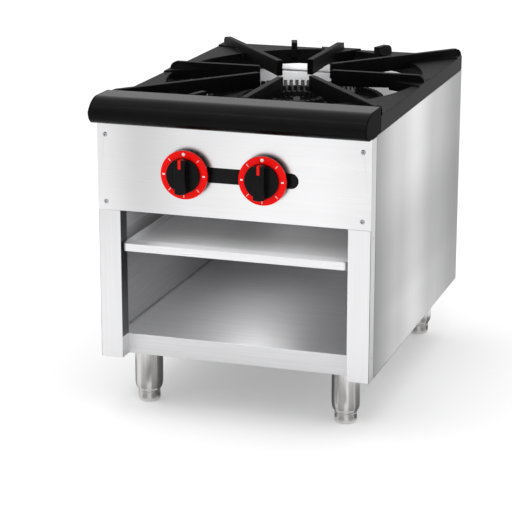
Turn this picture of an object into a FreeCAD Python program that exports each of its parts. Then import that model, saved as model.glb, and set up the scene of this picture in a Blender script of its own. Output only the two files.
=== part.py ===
import FreeCAD, Part
import math
import os
import Sketcher

# Single burner gas stove for stock pots: a sheet-metal cabinet on four legs,
# an iron top grate over a toothed burner, two gas valves and a pull-out drip tray.
# Millimetres, X to the right, Y to the back, Z up from the floor, X and Y centred.

# Driving sizes: name, value, meaning
SIZES = (
    ("body_width", 463, "cabinet width over the side panels"),
    ("overall_depth", 676, "nose of the front rail to the back edge of the cabinet"),
    ("cabinet_top", 497, "floor to the top of the sheet-metal cabinet"),
    ("leg_height", 95, "floor to the underside of the cabinet"),
    ("sheet_wall", 1.2, "thickness of the cabinet sheet"),
    ("liner_wall", 1.0, "thickness of the inner sheets"),
    ("seam", 0.4, "open seam between the post and the side panel"),
    ("running_gap", 0.3, "gap between pieces that move past each other"),
    ("fit_gap", 0.1, "gap round fasteners and fixed pipes"),
    ("rail_overhang", 36, "front rail nose ahead of the control panel"),
    ("rail_depth", 86, "front rail from nose to back face"),
    ("rail_height", 42, "front rail above the cabinet top"),
    ("rail_flat", 48, "flat stretch on top of the rail"),
    ("rail_nose", 21, "height of the foremost point of the rail above its bottom"),
    ("rail_undercut", 20, "rail bottom edge behind the nose"),
    ("rail_wall", 2.0, "wall of the hollow rail"),
    ("rail_cap", 1.5, "thickness of a rail end cap"),
    ("rail_bolt_clear", 28, "head of an outer rail bolt to the front post beside it"),
    ("panel_height", 148, "control panel height"),
    ("panel_flange", 60, "depth of the control panel's top flange"),
    ("panel_foot", 42, "depth of the control panel's bottom flange"),
    ("slot_length", 224, "length of the slot in the control panel"),
    ("slot_height", 25, "height of the slot in the control panel"),
    ("backplate_margin", 10, "slot backplate past the slot on each side"),
    ("knob_spacing", 132, "distance between the two knobs"),
    ("knob_shift", -10, "middle of the knob pair from the cabinet's middle"),
    ("knob_drop", 76.5, "cabinet top down to the knob axes"),
    ("dial_radius", 40, "radius of a red dial ring"),
    ("dial_thick", 5, "thickness of a dial ring"),
    ("dial_hub_radius", 22, "radius of the hub behind a dial ring"),
    ("dial_standoff", 10, "panel face to the back of a dial ring"),
    ("dial_round", 1.6, "rounded front rim of a dial ring"),
    ("knob_radius", 28.5, "radius of a knob's base disc"),
    ("knob_disc", 5.5, "thickness of a knob's base disc"),
    ("grip_width", 19.5, "width of a knob's grip bar"),
    ("grip_height", 14.5, "height of a knob's grip above its disc"),
    ("pointer_width", 3.2, "width of the pointer mark"),
    ("pointer_length", 15, "length of the pointer mark"),
    ("pointer_thick", 0.4, "thickness of the pointer mark"),
    ("stem_radius", 4, "valve stem radius"),
    ("plug_radius", 7, "valve plug radius"),
    ("plug_length", 20, "valve plug length"),
    ("valve_setback", 16, "panel face to the front of a valve body"),
    ("valve_radius", 13, "valve body radius"),
    ("valve_length", 30, "valve body length"),
    ("spigot_radius", 7.5, "valve inlet spigot radius"),
    ("bonnet_radius", 10, "valve bonnet radius"),
    ("bonnet_length", 8, "valve bonnet length"),
    ("orifice_radius", 6, "gas orifice radius"),
    ("orifice_length", 16, "gas orifice length"),
    ("orifice_bore", 1.2, "gas orifice bore radius"),
    ("pipe_radius", 13.35, "gas pipe outer radius"),
    ("pipe_wall", 2.85, "gas pipe wall"),
    ("manifold_drop", 36, "valve axis down to the manifold axis"),
    ("manifold_reach", 160, "manifold's closed end left of the middle"),
    ("supply_inset", 66.5, "supply pipe axis in from the cabinet's right side"),
    ("elbow_bend", 24, "bend radius of the supply elbow"),
    ("elbow_wall", 3.2, "elbow wall outside the pipe's radius"),
    ("saddle_width", 24, "width of a manifold saddle"),
    ("saddle_clear", 14, "supply elbow to the nearer manifold saddle"),
    ("inlet_stop", 0.5, "end of the inlet nipple inside the back edge"),
    ("inlet_collar", 17.5, "radius of the inlet collar"),
    ("mixer_gap", 4, "orifice end to the mixing tube's mouth"),
    ("mixer_radius", 17, "mixing tube outer radius"),
    ("mixer_wall", 3, "mixing tube wall"),
    ("shutter_wall", 1.5, "air shutter wall"),
    ("shutter_length", 16, "air shutter length over the mixing tube"),
    ("shutter_window", 9, "width of the air shutter's windows"),
    ("shield_offset", 22, "mixing tube mouth to the heat shield"),
    ("shield_top_gap", 12, "heat shield top below the cabinet top"),
    ("post_width", 38, "front post width"),
    ("post_depth", 28, "front post depth"),
    ("lap_length", 12, "side panel lap inside the post"),
    ("rivet_radius", 2.4, "post rivet radius"),
    ("rivet_low", 40, "lower rivets above the cabinet's underside"),
    ("side_flange", 20, "side panel flanges, top and bottom"),
    ("rear_flange", 15, "side panel flange at the back"),
    ("back_recess", 20, "back panel in from the back edge"),
    ("rear_rail_height", 35, "rear top rail height"),
    ("shelf_lip", 35, "bottom shelf front lip height"),
    ("shelf_side_gap", 2.5, "shelf flange in from the cabinet's outside"),
    ("liner_inset", 19.5, "storage bay wall in from the cabinet's outside"),
    ("liner_top_gap", 14, "liner top below the cabinet top"),
    ("rear_liner_gap", 14, "rear liner ahead of the back panel"),
    ("tray_drop", 56, "control panel underside to the tray rim"),
    ("tray_height", 13, "tray height"),
    ("tray_setback", 3, "tray lip behind the face of the posts"),
    ("tray_length", 588, "tray length"),
    ("tray_side_gap", 1.0, "tray side to the post"),
    ("tray_handle", 28, "flat front rim of the tray"),
    ("tray_corner", 9, "rounded front corner of the tray"),
    ("tray_sheet", 1.0, "tray sheet thickness"),
    ("runner_wall", 1.5, "tray runner thickness"),
    ("runner_foot", 27, "tray runner ledge width"),
    ("runner_height", 24, "tray runner height"),
    ("leg_side_inset", 57, "leg axis in from the cabinet's side"),
    ("leg_front_inset", 72, "front leg axis behind the control panel face"),
    ("leg_back_inset", 60, "rear leg axis in from the back edge"),
    ("leg_radius", 24, "leg tube radius"),
    ("leg_end_radius", 19.2, "leg radius at its lower end"),
    ("leg_taper", 30, "height of the leg's tapered shoulder"),
    ("leg_wall", 2.0, "leg tube wall"),
    ("leg_plug", 28, "solid lower end of the leg that takes the foot's thread"),
    ("leg_lid", 3, "leg top disc"),
    ("foot_radius", 18.7, "foot radius"),
    ("foot_height", 18, "visible height of a foot"),
    ("foot_round", 5, "rounded lower edge of a foot"),
    ("foot_stem_radius", 8, "foot thread radius"),
    ("foot_stem", 46, "foot thread length above the foot"),
    ("channel_wall", 2.0, "leg channel sheet"),
    ("channel_half", 32, "half width of a leg channel"),
    ("channel_end", 6, "leg channel end in from the cabinet's side"),
    ("stud_radius", 6, "leg stud radius"),
    ("stud_length", 17, "leg stud above the leg"),
    ("nut_radius", 10.5, "leg nut radius over corners"),
    ("nut_height", 10, "leg nut height"),
    ("grate_gap", 1.0, "front rail to the grate"),
    ("plate_height", 27, "grate plate above the cabinet top"),
    ("plate_wall", 8, "wall of the grate's skirt"),
    ("plate_thick", 9, "thickness of the grate's top plate"),
    ("opening_margin", 14.5, "least plate between the opening and the grate's edge"),
    ("finger_rise", 41, "finger tops above the cabinet top"),
    ("finger_depth", 28, "height of a finger's inner end"),
    ("finger_width", 11, "finger width"),
    ("finger_round", 13, "rounded outer end of a finger"),
    ("hole_across", 66, "middle of the grate to the side fingers"),
    ("hole_along", 88, "middle of the grate to the front and back fingers"),
    ("corner_hole", 77, "middle of the grate to the corner fingers"),
    ("corner_trim", 6, "corner fingers short of the corner point"),
    ("web_length", 62, "length of a finger's root web"),
    ("web_inner", 13, "width of a root web at its inner end"),
    ("web_outer", 78, "width of a root web at the grate's edge"),
    ("web_rise", 2.5, "root web above the plate"),
    ("web_depth", 17, "root web height"),
    ("stub_place", 93, "short stubs either side of the middle"),
    ("stub_length", 46, "length of a short stub"),
    ("burner_drop", 22, "finger underside down to the burner teeth"),
    ("outer_crown", 150, "radius of the outer toothed ring"),
    ("middle_crown", 98, "radius of the middle toothed ring"),
    ("inner_crown", 46, "radius of the inner toothed ring"),
    ("crown_wall", 9, "radial width of a toothed ring"),
    ("tooth_height", 13, "tooth height"),
    ("tooth_pitch", 10.5, "distance from tooth to tooth"),
    ("tooth_gap", 4.6, "gap between two teeth"),
    ("chamber_height", 21, "height of the outer burner's gas chamber"),
    ("chamber_margin", 10, "gas chamber past its toothed rings"),
    ("chamber_wall", 4, "burner casting wall"),
    ("riser_offset", 22, "riser from the outer mixing tube's closed end"),
    ("drum_radius", 73, "inner burner's drum radius"),
    ("drum_gap", 2, "inner burner's drum past its mixing tube, top and bottom"),
    ("ear_half", 12, "half width of the inner burner's ears"),
    ("ear_thick", 6, "thickness of the inner burner's ears"),
    ("rest_offset", 95, "burner rests either side of the burner's middle"),
    ("rest_wall", 2, "burner rest sheet"),
    ("rest_foot", 20, "burner rest ledge width"),
    ("rest_height", 16, "burner rest height"),
    ("pilot_place", -10, "pilot valve from the cabinet's middle"),
    ("pilot_radius", 6, "pilot valve radius"),
    ("pilot_height", 18, "pilot valve height above the manifold's top"),
    ("pilot_tube_radius", 3, "pilot tube radius"),
    ("pilot_bend", 20, "pilot tube bend radius"),
    ("pilot_rise", 26, "straight pilot tube above its valve"),
    ("pilot_head_radius", 7, "pilot burner radius"),
    ("pilot_head", 32, "pilot burner height"),
    ("pilot_gap", 4, "pilot burner to the outer burner"),
    ("bracket_width", 24, "pilot bracket width"),
    ("bracket_wall", 2, "pilot bracket sheet"),
    ("screw_side", 14.3, "panel screws in from the sides"),
    ("screw_top", 21.5, "panel screws below the panel's top"),
    ("screw_low", 14.5, "panel screws above the panel's underside"),
    ("screw_head", 4, "panel screw head radius"),
    ("screw_head_height", 2, "panel screw head height"),
    ("screw_shank", 2, "panel screw shank radius"),
    ("screw_length", 9, "panel screw shank length"),
    ("back_screw_pitch", 140, "spacing of the back panel screws"),
    ("back_screw_length", 5, "back panel screw shank length"),
    ("bolt_head", 5.5, "rail bolt head radius"),
    ("bolt_head_height", 4, "rail bolt head height"),
    ("bolt_shank", 3, "rail bolt shank radius"),
    ("bolt_length", 8, "rail bolt shank length"),
)

doc = FreeCAD.newDocument("GasStove")
sheet = doc.addObject("Spreadsheet::Sheet", "Sizes")


class Length:
    """A size that carries its number and its expression in the sheet."""

    def __init__(self, number, text):
        self.number = number
        self.text = text

    def __add__(self, other):
        other = as_length(other)
        return Length(self.number + other.number, f"({self.text} + {other.text})")

    def __sub__(self, other):
        other = as_length(other)
        return Length(self.number - other.number, f"({self.text} - {other.text})")

    def __mul__(self, other):
        other = as_length(other)
        return Length(self.number * other.number, f"({self.text} * {other.text})")

    def __truediv__(self, other):
        other = as_length(other)
        return Length(self.number / other.number, f"({self.text} / {other.text})")

    def __neg__(self):
        return Length(-self.number, f"(0 - {self.text})")


def as_length(value):
    """A plain number as a Length; a Length stays as it is."""
    if isinstance(value, Length):
        return value
    return Length(float(value), f"({value})")


def root(value):
    """Square root of a Length."""
    return Length(math.sqrt(value.number), f"sqrt({value.text})")


class Named:
    """The sheet's sizes by name."""


size = Named()
for row, (alias, value, note) in enumerate(SIZES, start=1):
    sheet.set(f"A{row}", note)
    sheet.set(f"B{row}", str(value))
    sheet.setAlias(f"B{row}", alias)
    setattr(size, alias, Length(float(value), f"Sizes.{alias}"))
doc.recompute()

parts = []


def bind(obj, prop, value):
    """Tie one property of an object to the sheet."""
    obj.setExpression(prop, as_length(value).text)


def put(obj, x, y, z):
    """Tie an object's place to the sheet."""
    bind(obj, "Placement.Base.x", x)
    bind(obj, "Placement.Base.y", y)
    bind(obj, "Placement.Base.z", z)


def box(name, x, y, z):
    """A block between two places on each axis."""
    obj = doc.addObject("Part::Box", name)
    bind(obj, "Length", x[1] - x[0])
    bind(obj, "Width", y[1] - y[0])
    bind(obj, "Height", z[1] - z[0])
    put(obj, x[0], y[0], z[0])
    return obj


TURN = {
    "x": FreeCAD.Rotation(FreeCAD.Vector(0, 1, 0), 90),
    "y": FreeCAD.Rotation(FreeCAD.Vector(1, 0, 0), -90),
    "z": FreeCAD.Rotation(),
}


def rod(name, axis, x, y, z, radius, length):
    """A cylinder that starts at a place and runs along +X, +Y or +Z."""
    obj = doc.addObject("Part::Cylinder", name)
    obj.Placement = FreeCAD.Placement(FreeCAD.Vector(), TURN[axis])
    bind(obj, "Radius", radius)
    bind(obj, "Height", length)
    put(obj, x, y, z)
    return obj


def bend(name, x, y, z, turn, major, minor):
    """A quarter ring about a centre; turn sets the plane of the bend."""
    obj = doc.addObject("Part::Torus", name)
    obj.Placement = FreeCAD.Placement(FreeCAD.Vector(), turn)
    obj.Angle3 = 90
    bind(obj, "Radius1", major)
    bind(obj, "Radius2", minor)
    put(obj, x, y, z)
    return obj


def join(name, *pieces):
    """Pieces welded or cast into one solid."""
    obj = doc.addObject("Part::MultiFuse", name)
    obj.Shapes = list(pieces)
    obj.Refine = True
    return obj


def group(name, *pieces):
    """Like pieces that stay separate solids."""
    obj = doc.addObject("Part::Compound", name)
    obj.Links = list(pieces)
    return obj


def cut(name, base, *tools):
    """A piece with openings cut out of it."""
    obj = doc.addObject("Part::Cut", name)
    obj.Base = base
    obj.Tool = tools[0] if len(tools) == 1 else group(f"{name}_cutters", *tools)
    obj.Refine = True
    return obj


def finish(obj):
    """Note an object as a finished sub-part."""
    parts.append(obj)
    return obj


def across(side, inner, outer):
    """The X range between two distances from the middle, on the left (-1) or right (1)."""
    if side > 0:
        return inner, outer
    return -outer, -inner


def centred(middle, half):
    """A range about a middle."""
    return middle - half, middle + half


def outline(holder, name, role, corners):
    """A closed sketch through corners (x, y); (x, y, radius) reaches its corner by a round
    that bulges to the right of the way."""
    sketch = holder.newObject("Sketcher::SketchObject", name)
    plane = [entry for entry in holder.Origin.OriginFeatures if entry.Role == role][0]
    sketch.AttachmentSupport = [(plane, "")]
    sketch.MapMode = "FlatFace"
    spots = [FreeCAD.Vector(as_length(c[0]).number, as_length(c[1]).number, 0) for c in corners]
    for index, corner in enumerate(corners):
        start, end = spots[index - 1], spots[index]
        if len(corner) == 2:
            sketch.addGeometry(Part.LineSegment(start, end), False)
            continue
        radius = as_length(corner[2]).number
        chord = end - start
        reach = math.sqrt(max(radius ** 2 - (chord.Length / 2) ** 2, 0.0))
        left = FreeCAD.Vector(-chord.y, chord.x, 0).normalize()
        middle = (start + end) / 2 + left * reach
        angles = [math.atan2(spot.y - middle.y, spot.x - middle.x) for spot in (start, end)]
        circle = Part.Circle(middle, FreeCAD.Vector(0, 0, 1), radius)
        sketch.addGeometry(Part.ArcOfCircle(circle, angles[0], angles[1]), False)
    for index, corner in enumerate(corners):
        following = (index + 1) % len(corners)
        sketch.addConstraint(Sketcher.Constraint("Coincident", index, 2, following, 1))
        for kind, value in (("DistanceX", corner[0]), ("DistanceY", corner[1])):
            number = as_length(value).number
            entry = sketch.addConstraint(Sketcher.Constraint(kind, -1, 1, index, 2, number))
            sketch.renameConstraint(entry, f"{kind}{index}")
            bind(sketch, f"Constraints.{kind}{index}", value)
        if len(corner) == 3:
            entry = sketch.addConstraint(Sketcher.Constraint("Radius", index, as_length(corner[2]).number))
            sketch.renameConstraint(entry, f"Radius{index}")
            bind(sketch, f"Constraints.Radius{index}", corner[2])
    return sketch


def turned(name, corners):
    """A body turned on a lathe about Z from a half section (radius, height)."""
    holder = doc.addObject("PartDesign::Body", name)
    sketch = outline(holder, f"{name}_section", "XZ_Plane", corners)
    feature = holder.newObject("PartDesign::Revolution", f"{name}_turning")
    feature.Profile = sketch
    feature.ReferenceAxis = (sketch, ["V_Axis"])
    feature.Angle = 360
    return holder


def padded(name, role, corners, length, symmetric=False):
    """A body padded from an outline on one of its own planes."""
    holder = doc.addObject("PartDesign::Body", name)
    sketch = outline(holder, f"{name}_outline", role, corners)
    feature = holder.newObject("PartDesign::Pad", f"{name}_pad")
    feature.Profile = sketch
    if symmetric:
        feature.SideType = "Symmetric"
    bind(feature, "Length", length)
    return holder


# Main places, worked out from the driving sizes
wall = size.sheet_wall
half = size.body_width / 2
front = -size.overall_depth / 2
back = size.overall_depth / 2
top = size.cabinet_top
flange_top = top - wall
bottom = size.leg_height
panel_y = front + size.rail_overhang
panel_low = top - size.panel_height
post_y = panel_y + wall
post_back = post_y + size.post_depth
panel_flange_back = panel_y + size.panel_flange
shelf_top = bottom + size.shelf_lip
liner_x = half - size.liner_inset
back_y = back - size.back_recess
rear_liner_y = back_y - wall - size.rear_liner_gap
rail_back = front + size.rail_depth
knob_z = top - size.knob_drop
knob_x = {
    "left": size.knob_shift - size.knob_spacing / 2,
    "right": size.knob_shift + size.knob_spacing / 2,
}
SIDES = (("left", -1), ("right", 1))
zero = as_length(0)

# Places of the gas line
valve_y = panel_y + size.valve_setback
manifold_y = valve_y + size.valve_length / 2
manifold_z = knob_z - size.manifold_drop
orifice_y = valve_y + size.valve_length
mixer_y = orifice_y + size.orifice_length + size.mixer_gap
shield_y = mixer_y + size.shield_offset
supply_x = half - size.supply_inset
pipe_bore = size.pipe_radius - size.pipe_wall

# Places of the grate and the burner
grate_y = rail_back + size.grate_gap
burner_y = (grate_y + back) / 2
plate_top = top + size.plate_height
plate_low = top + size.running_gap
finger_top = top + size.finger_rise
finger_low = finger_top - size.finger_depth
teeth_top = finger_low - size.burner_drop
teeth_low = teeth_top - size.tooth_height
chamber_low = teeth_low - size.chamber_height

# Screw places on the control panel and rivet places on the post strips
screw_spots = [
    (x, z)
    for x in (size.screw_side - half, half - size.screw_side)
    for z in (panel_low + size.screw_low, top - size.screw_top)
]
rivet_y = post_y + size.post_depth / 2
rivet_heights = (bottom + size.rivet_low, panel_low - size.screw_low)
back_screw_spots = [
    (size.back_screw_pitch * step, z)
    for step in (-1, 0, 1)
    for z in (bottom + size.shelf_lip / 2, flange_top - size.rear_rail_height / 2)
]
rail_bolt_x = half - size.post_width - size.rail_bolt_clear - size.bolt_head
rail_bolt_xs = (-rail_bolt_x, 0, rail_bolt_x)
rail_bolt_y = panel_y + (size.rail_depth - size.rail_overhang) / 2


# Side panels: a folded sheet with flanges at top, bottom and back and a lap behind the post
def rivet_holes(name, side):
    """Cutters for the rivets through one post strip and the lap behind it."""
    low, high = across(side, half - wall * 3, half + wall)
    radius = size.rivet_radius + size.fit_gap
    return [
        rod(f"{name}_{index}", "x", low, rivet_y, z, radius, high - low)
        for index, z in enumerate(rivet_heights)
    ]


for word, side in SIDES:
    name = f"{word}_side_panel"
    skin = box(f"{name}_skin", across(side, half - wall, half), (post_back + size.seam, back), (bottom, top))
    lap = box(
        f"{name}_lap",
        across(side, half - wall * 2, half - wall),
        (post_y + wall * 2, post_back + size.lap_length),
        (bottom + wall * 2, top - wall * 2),
    )
    flange = across(side, half - size.side_flange, half - wall)
    head = box(f"{name}_head", flange, (panel_flange_back, back), (flange_top, top))
    base = box(f"{name}_base", flange, (post_back + wall * 2, back), (bottom, bottom + wall))
    rear_span = across(side, half - size.rear_flange, half - wall)
    rear = box(f"{name}_rear", rear_span, (back - wall, back), (bottom, top))
    folded = join(f"{name}_folded", skin, lap, head, base, rear)
    finish(cut(name, folded, *rivet_holes(f"{name}_rivet_hole", side)))

# Front posts: folded channels, open to the back
for word, side in SIDES:
    name = f"{word}_front_post"
    inner = half - size.post_width
    web = box(f"{name}_web", across(side, inner, half), (post_y, post_y + wall), (bottom, flange_top))
    strip = box(f"{name}_strip", across(side, half - wall, half), (post_y, post_back), (bottom, flange_top))
    cheek = box(f"{name}_cheek", across(side, inner, inner + wall), (post_y, post_back), (bottom, flange_top))
    folded = join(f"{name}_folded", web, strip, cheek)
    screw_holes = [
        rod(f"{name}_screw_hole_{index}", "y", x, post_y - wall, z, size.screw_shank + size.fit_gap, wall * 3)
        for index, (x, z) in enumerate(screw_spots)
        if x.number * side > 0
    ]
    finish(cut(name, folded, *screw_holes, *rivet_holes(f"{name}_rivet_hole", side)))

# Post rivets: flush rivets through each post strip and its lap
finish(group("post_rivets", *[
    rod(f"post_rivet_{word}_{index}", "x", across(side, half - wall * 2, half)[0], rivet_y, z,
        size.rivet_radius, wall * 2)
    for word, side in SIDES
    for index, z in enumerate(rivet_heights)
]))

# Bottom shelf: a folded pan with its lips turned down, between the side panels
shelf_half = half - size.shelf_side_gap
shelf_back = back_y - wall
shelf = [box("shelf_sheet", (-shelf_half, shelf_half), (post_back, shelf_back),
             (shelf_top - wall, shelf_top))]
shelf.append(box("shelf_lip", (-shelf_half, shelf_half), (post_back, post_back + wall), (bottom, shelf_top)))
shelf.append(
    box("shelf_rear", (-shelf_half, shelf_half), (shelf_back - wall, shelf_back), (bottom + wall, shelf_top))
)
for word, side in SIDES:
    span = across(side, shelf_half - wall, shelf_half)
    shelf.append(box(f"shelf_{word}", span, (post_back, shelf_back), (bottom + wall, shelf_top)))


def back_screw_holes(name, level):
    """Cutters for the back panel screws of one row (0 low, 1 high)."""
    radius = size.screw_shank + size.fit_gap
    return [
        rod(f"{name}_{index}", "y", x, back_y - wall * 3, z, radius, wall * 4)
        for index, (x, z) in enumerate(back_screw_spots[level::2])
    ]


finish(cut("bottom_shelf", join("shelf_folded", *shelf), *back_screw_holes("shelf_hole", 0)))

# Rear top rail: carries the back of the grate and the head of the back panel
rail_half = half - size.side_flange
rear_rail = join(
    "rear_rail_folded",
    box("rear_rail_head", (-rail_half, rail_half), (back_y - wall * 2, back - wall), (flange_top, top)),
    box("rear_rail_web", (-rail_half, rail_half), (back_y - wall * 2, back_y - wall),
        (flange_top - size.rear_rail_height, top)),
)
finish(cut("rear_top_rail", rear_rail, *back_screw_holes("rear_rail_hole", 1)))

# Back panel: a flat sheet set in from the back edge, with the gas inlet hole
back_sheet = box("back_sheet", (wall - half, half - wall), (back_y - wall, back_y),
                 (bottom + wall, flange_top))
inlet_hole = rod("inlet_hole", "y", supply_x, back_y - wall * 2, manifold_z,
                 size.inlet_collar + size.fit_gap, wall * 3)
finish(cut("back_panel", back_sheet, inlet_hole,
           *back_screw_holes("back_hole_low", 0), *back_screw_holes("back_hole_high", 1)))
finish(group("back_panel_screws", *[
    join(
        f"back_screw_{index}",
        rod(f"back_screw_head_{index}", "y", x, back_y, z, size.screw_head, size.screw_head_height),
        rod(f"back_screw_shank_{index}", "y", x, back_y - size.back_screw_length, z,
            size.screw_shank, size.back_screw_length),
    )
    for index, (x, z) in enumerate(back_screw_spots)
]))

# Control panel: front sheet with a top flange under the rail and the grate, and a bottom flange
panel_sheet = box("panel_sheet", (-half, half), (panel_y, panel_y + wall), (panel_low, top))
head_half = half - wall - size.fit_gap
panel_head = box("panel_head", (-head_half, head_half), (panel_y, panel_flange_back), (flange_top, top))
foot_half = half - size.post_width - size.tray_side_gap
panel_foot = box("panel_foot", (-foot_half, foot_half), (panel_y, panel_y + size.panel_foot),
                 (panel_low, panel_low + wall))
slot_round = size.slot_height / 2
slot_reach = size.slot_length / 2 - slot_round
slot_x = centred(zero, slot_reach)
slot_y = (panel_y - wall, panel_y + wall * 2)
slot_ends = [
    rod(f"panel_slot_end_{index}", "y", x, slot_y[0], knob_z, slot_round, wall * 3)
    for index, x in enumerate(slot_x)
]
slot_body = join("panel_slot", box("panel_slot_middle", slot_x, slot_y, centred(knob_z, slot_round)),
                 *slot_ends)
panel_holes = [
    rod(f"panel_screw_hole_{index}", "y", x, panel_y - wall, z, size.screw_shank + size.fit_gap, wall * 3)
    for index, (x, z) in enumerate(screw_spots)
]
bolt_holes = [
    rod(f"panel_bolt_hole_{index}", "z", x, rail_bolt_y, flange_top - wall,
        size.bolt_shank + size.fit_gap, wall * 3)
    for index, x in enumerate(rail_bolt_xs)
]
panel_folded = join("panel_folded", panel_sheet, panel_head, panel_foot)
finish(cut("control_panel", panel_folded, slot_body, *panel_holes, *bolt_holes))
finish(group("control_panel_screws", *[
    join(
        f"panel_screw_{index}",
        rod(f"panel_screw_head_{index}", "y", x, panel_y - size.screw_head_height, z,
            size.screw_head, size.screw_head_height),
        rod(f"panel_screw_shank_{index}", "y", x, panel_y, z, size.screw_shank, size.screw_length),
    )
    for index, (x, z) in enumerate(screw_spots)
]))

# Slot backplate: a dark plate behind the slot, with holes for the valve stems
plate_half = size.slot_length / 2 + size.backplate_margin
plate_sheet = box(
    "backplate_sheet",
    centred(zero, plate_half),
    (post_y, post_y + size.liner_wall),
    centred(knob_z, slot_round + size.backplate_margin),
)
finish(cut("slot_backplate", plate_sheet, *[
    rod(f"backplate_hole_{word}", "y", knob_x[word], post_y - wall, knob_z,
        size.stem_radius + size.running_gap, wall * 3)
    for word, side in SIDES
]))

def tangent_radius(along, aside):
    """Radius of a round that leaves a straight line and moves aside over a stretch along it."""
    return (along * along + aside * aside) / (aside * 2)


# Front rail: a hollow bullnose over the control panel, closed by flat end caps
rail_top_radius = tangent_radius(size.rail_depth - size.rail_flat, size.rail_height - size.rail_nose)
rail_low_radius = tangent_radius(size.rail_nose, size.rail_undercut)
rail_corners = [
    (rail_back, top),
    (rail_back, top + size.rail_height),
    (rail_back - size.rail_flat, top + size.rail_height),
    (front, top + size.rail_nose, rail_top_radius),
    (front + size.rail_undercut, top, rail_low_radius),
]
rail_span = half - size.rail_cap
rail_outer = padded("rail_outer", "YZ_Plane", rail_corners, rail_span * 2, symmetric=True)
inset = size.rail_wall
rail_hollow = padded(
    "rail_hollow",
    "YZ_Plane",
    [
        (rail_back - inset, top + inset),
        (rail_back - inset, top + size.rail_height - inset),
        (rail_back - size.rail_flat, top + size.rail_height - inset),
        (front + inset, top + size.rail_nose, rail_top_radius - inset),
        (front + size.rail_undercut + inset, top + inset, rail_low_radius - inset),
    ],
    rail_span * 2 + size.rail_cap,
    symmetric=True,
)
rail_bolt_holes = [
    rod(f"rail_bolt_hole_{index}", "z", x, rail_bolt_y, top - inset, size.bolt_shank + size.fit_gap,
        inset * 3)
    for index, x in enumerate(rail_bolt_xs)
]
finish(cut("front_rail", rail_outer, rail_hollow, *rail_bolt_holes))
caps = []
for word, side in SIDES:
    cap = padded(f"rail_cap_{word}", "YZ_Plane", rail_corners, size.rail_cap)
    bind(cap, "Placement.Base.x", across(side, rail_span, half)[0])
    caps.append(cap)
finish(group("rail_end_caps", *caps))
finish(group("rail_bolts", *[
    join(
        f"rail_bolt_{index}",
        rod(f"rail_bolt_head_{index}", "z", x, rail_bolt_y, flange_top - size.bolt_head_height,
            size.bolt_head, size.bolt_head_height),
        rod(f"rail_bolt_shank_{index}", "z", x, rail_bolt_y, flange_top, size.bolt_shank, size.bolt_length),
    )
    for index, x in enumerate(rail_bolt_xs)
]))

# Liners: inner walls of the storage bay and of the burner space
liner_low = shelf_top
liner_top = top - size.liner_top_gap
liner_wall = size.liner_wall
for word, side in SIDES:
    name = f"{word}_liner"
    sheet_span = across(side, liner_x, liner_x + liner_wall)
    main = box(f"{name}_sheet", sheet_span, (post_back, rear_liner_y), (liner_low, liner_top))
    lip_span = across(side, half - size.post_width + wall, liner_x)
    lip = box(f"{name}_lip", lip_span, (post_back, post_back + liner_wall), (liner_low, liner_top))
    finish(join(name, main, lip))
rear_sheet = box("rear_liner_sheet", (-liner_x - liner_wall, liner_x + liner_wall),
                 (rear_liner_y, rear_liner_y + liner_wall), (liner_low, liner_top))
pipe_clear = size.pipe_radius + size.fit_gap
finish(cut("rear_liner", rear_sheet,
           rod("rear_liner_hole", "y", supply_x, rear_liner_y - liner_wall, manifold_z,
               pipe_clear, liner_wall * 3)))

# Front heat shield: keeps the burner's heat from the valves; the tubes pass through it
shield_sheet = box("shield_sheet", (-liner_x, liner_x), (shield_y, shield_y + liner_wall),
                   (panel_low, top - size.shield_top_gap))
shield_start = shield_y - liner_wall
pilot_tube_z = manifold_z + size.pipe_radius + size.pilot_height + size.pilot_rise + size.pilot_bend
shield_holes = [
    rod(f"shield_hole_{word}", "y", knob_x[word], shield_start, knob_z,
        size.mixer_radius + size.fit_gap, liner_wall * 3)
    for word, side in SIDES
]
shield_holes.append(rod("shield_pipe_hole", "y", supply_x, shield_start, manifold_z, pipe_clear,
                        liner_wall * 3))
shield_holes.append(rod("shield_pilot_hole", "y", size.pilot_place, shield_start, pilot_tube_z,
                        size.pilot_tube_radius + size.fit_gap, liner_wall * 3))
finish(cut("front_heat_shield", shield_sheet, *shield_holes))

# Tray runners: angles on the liners
tray_top = panel_low - size.tray_drop
tray_low = tray_top - size.tray_height
runner_top = tray_low - size.running_gap
runner_low = runner_top - size.runner_wall
runner_y = (post_back + liner_wall, rear_liner_y)
for word, side in SIDES:
    name = f"{word}_tray_runner"
    ledge = box(f"{name}_ledge", across(side, liner_x - size.runner_foot, liner_x), runner_y,
                (runner_low, runner_top))
    stand = box(f"{name}_stand", across(side, liner_x - size.runner_wall, liner_x), runner_y,
                (runner_low, runner_low + size.runner_height))
    finish(join(name, ledge, stand))

# Drip tray: a shallow pan with a flat hollow front rim, pulled out by that rim
tray_half = half - size.post_width - size.tray_side_gap
tray_front = post_y + size.tray_setback
tray_back = tray_front + size.tray_length
corner = size.tray_corner
tray_blank = padded(
    "tray_blank",
    "XY_Plane",
    [
        (-tray_half, tray_back),
        (-tray_half, tray_front + corner),
        (corner - tray_half, tray_front, corner),
        (tray_half - corner, tray_front),
        (tray_half, tray_front + corner, corner),
        (tray_half, tray_back),
    ],
    size.tray_height,
)
bind(tray_blank, "Placement.Base.z", tray_low)
tin = size.tray_sheet
pan_start = tray_front + size.tray_handle
tray_pan = box("tray_pan", (tin - tray_half, tray_half - tin), (pan_start, tray_back - tin),
               (tray_low + tin, tray_top + tin))
tray_under = padded(
    "tray_under",
    "XY_Plane",
    [
        (tin - tray_half, pan_start - tin),
        (tin - tray_half, tray_front + corner),
        (corner - tray_half, tray_front + tin, corner - tin),
        (tray_half - corner, tray_front + tin),
        (tray_half - tin, tray_front + corner, corner - tin),
        (tray_half - tin, pan_start - tin),
    ],
    size.tray_height,
)
bind(tray_under, "Placement.Base.z", tray_low - tin)
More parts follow.
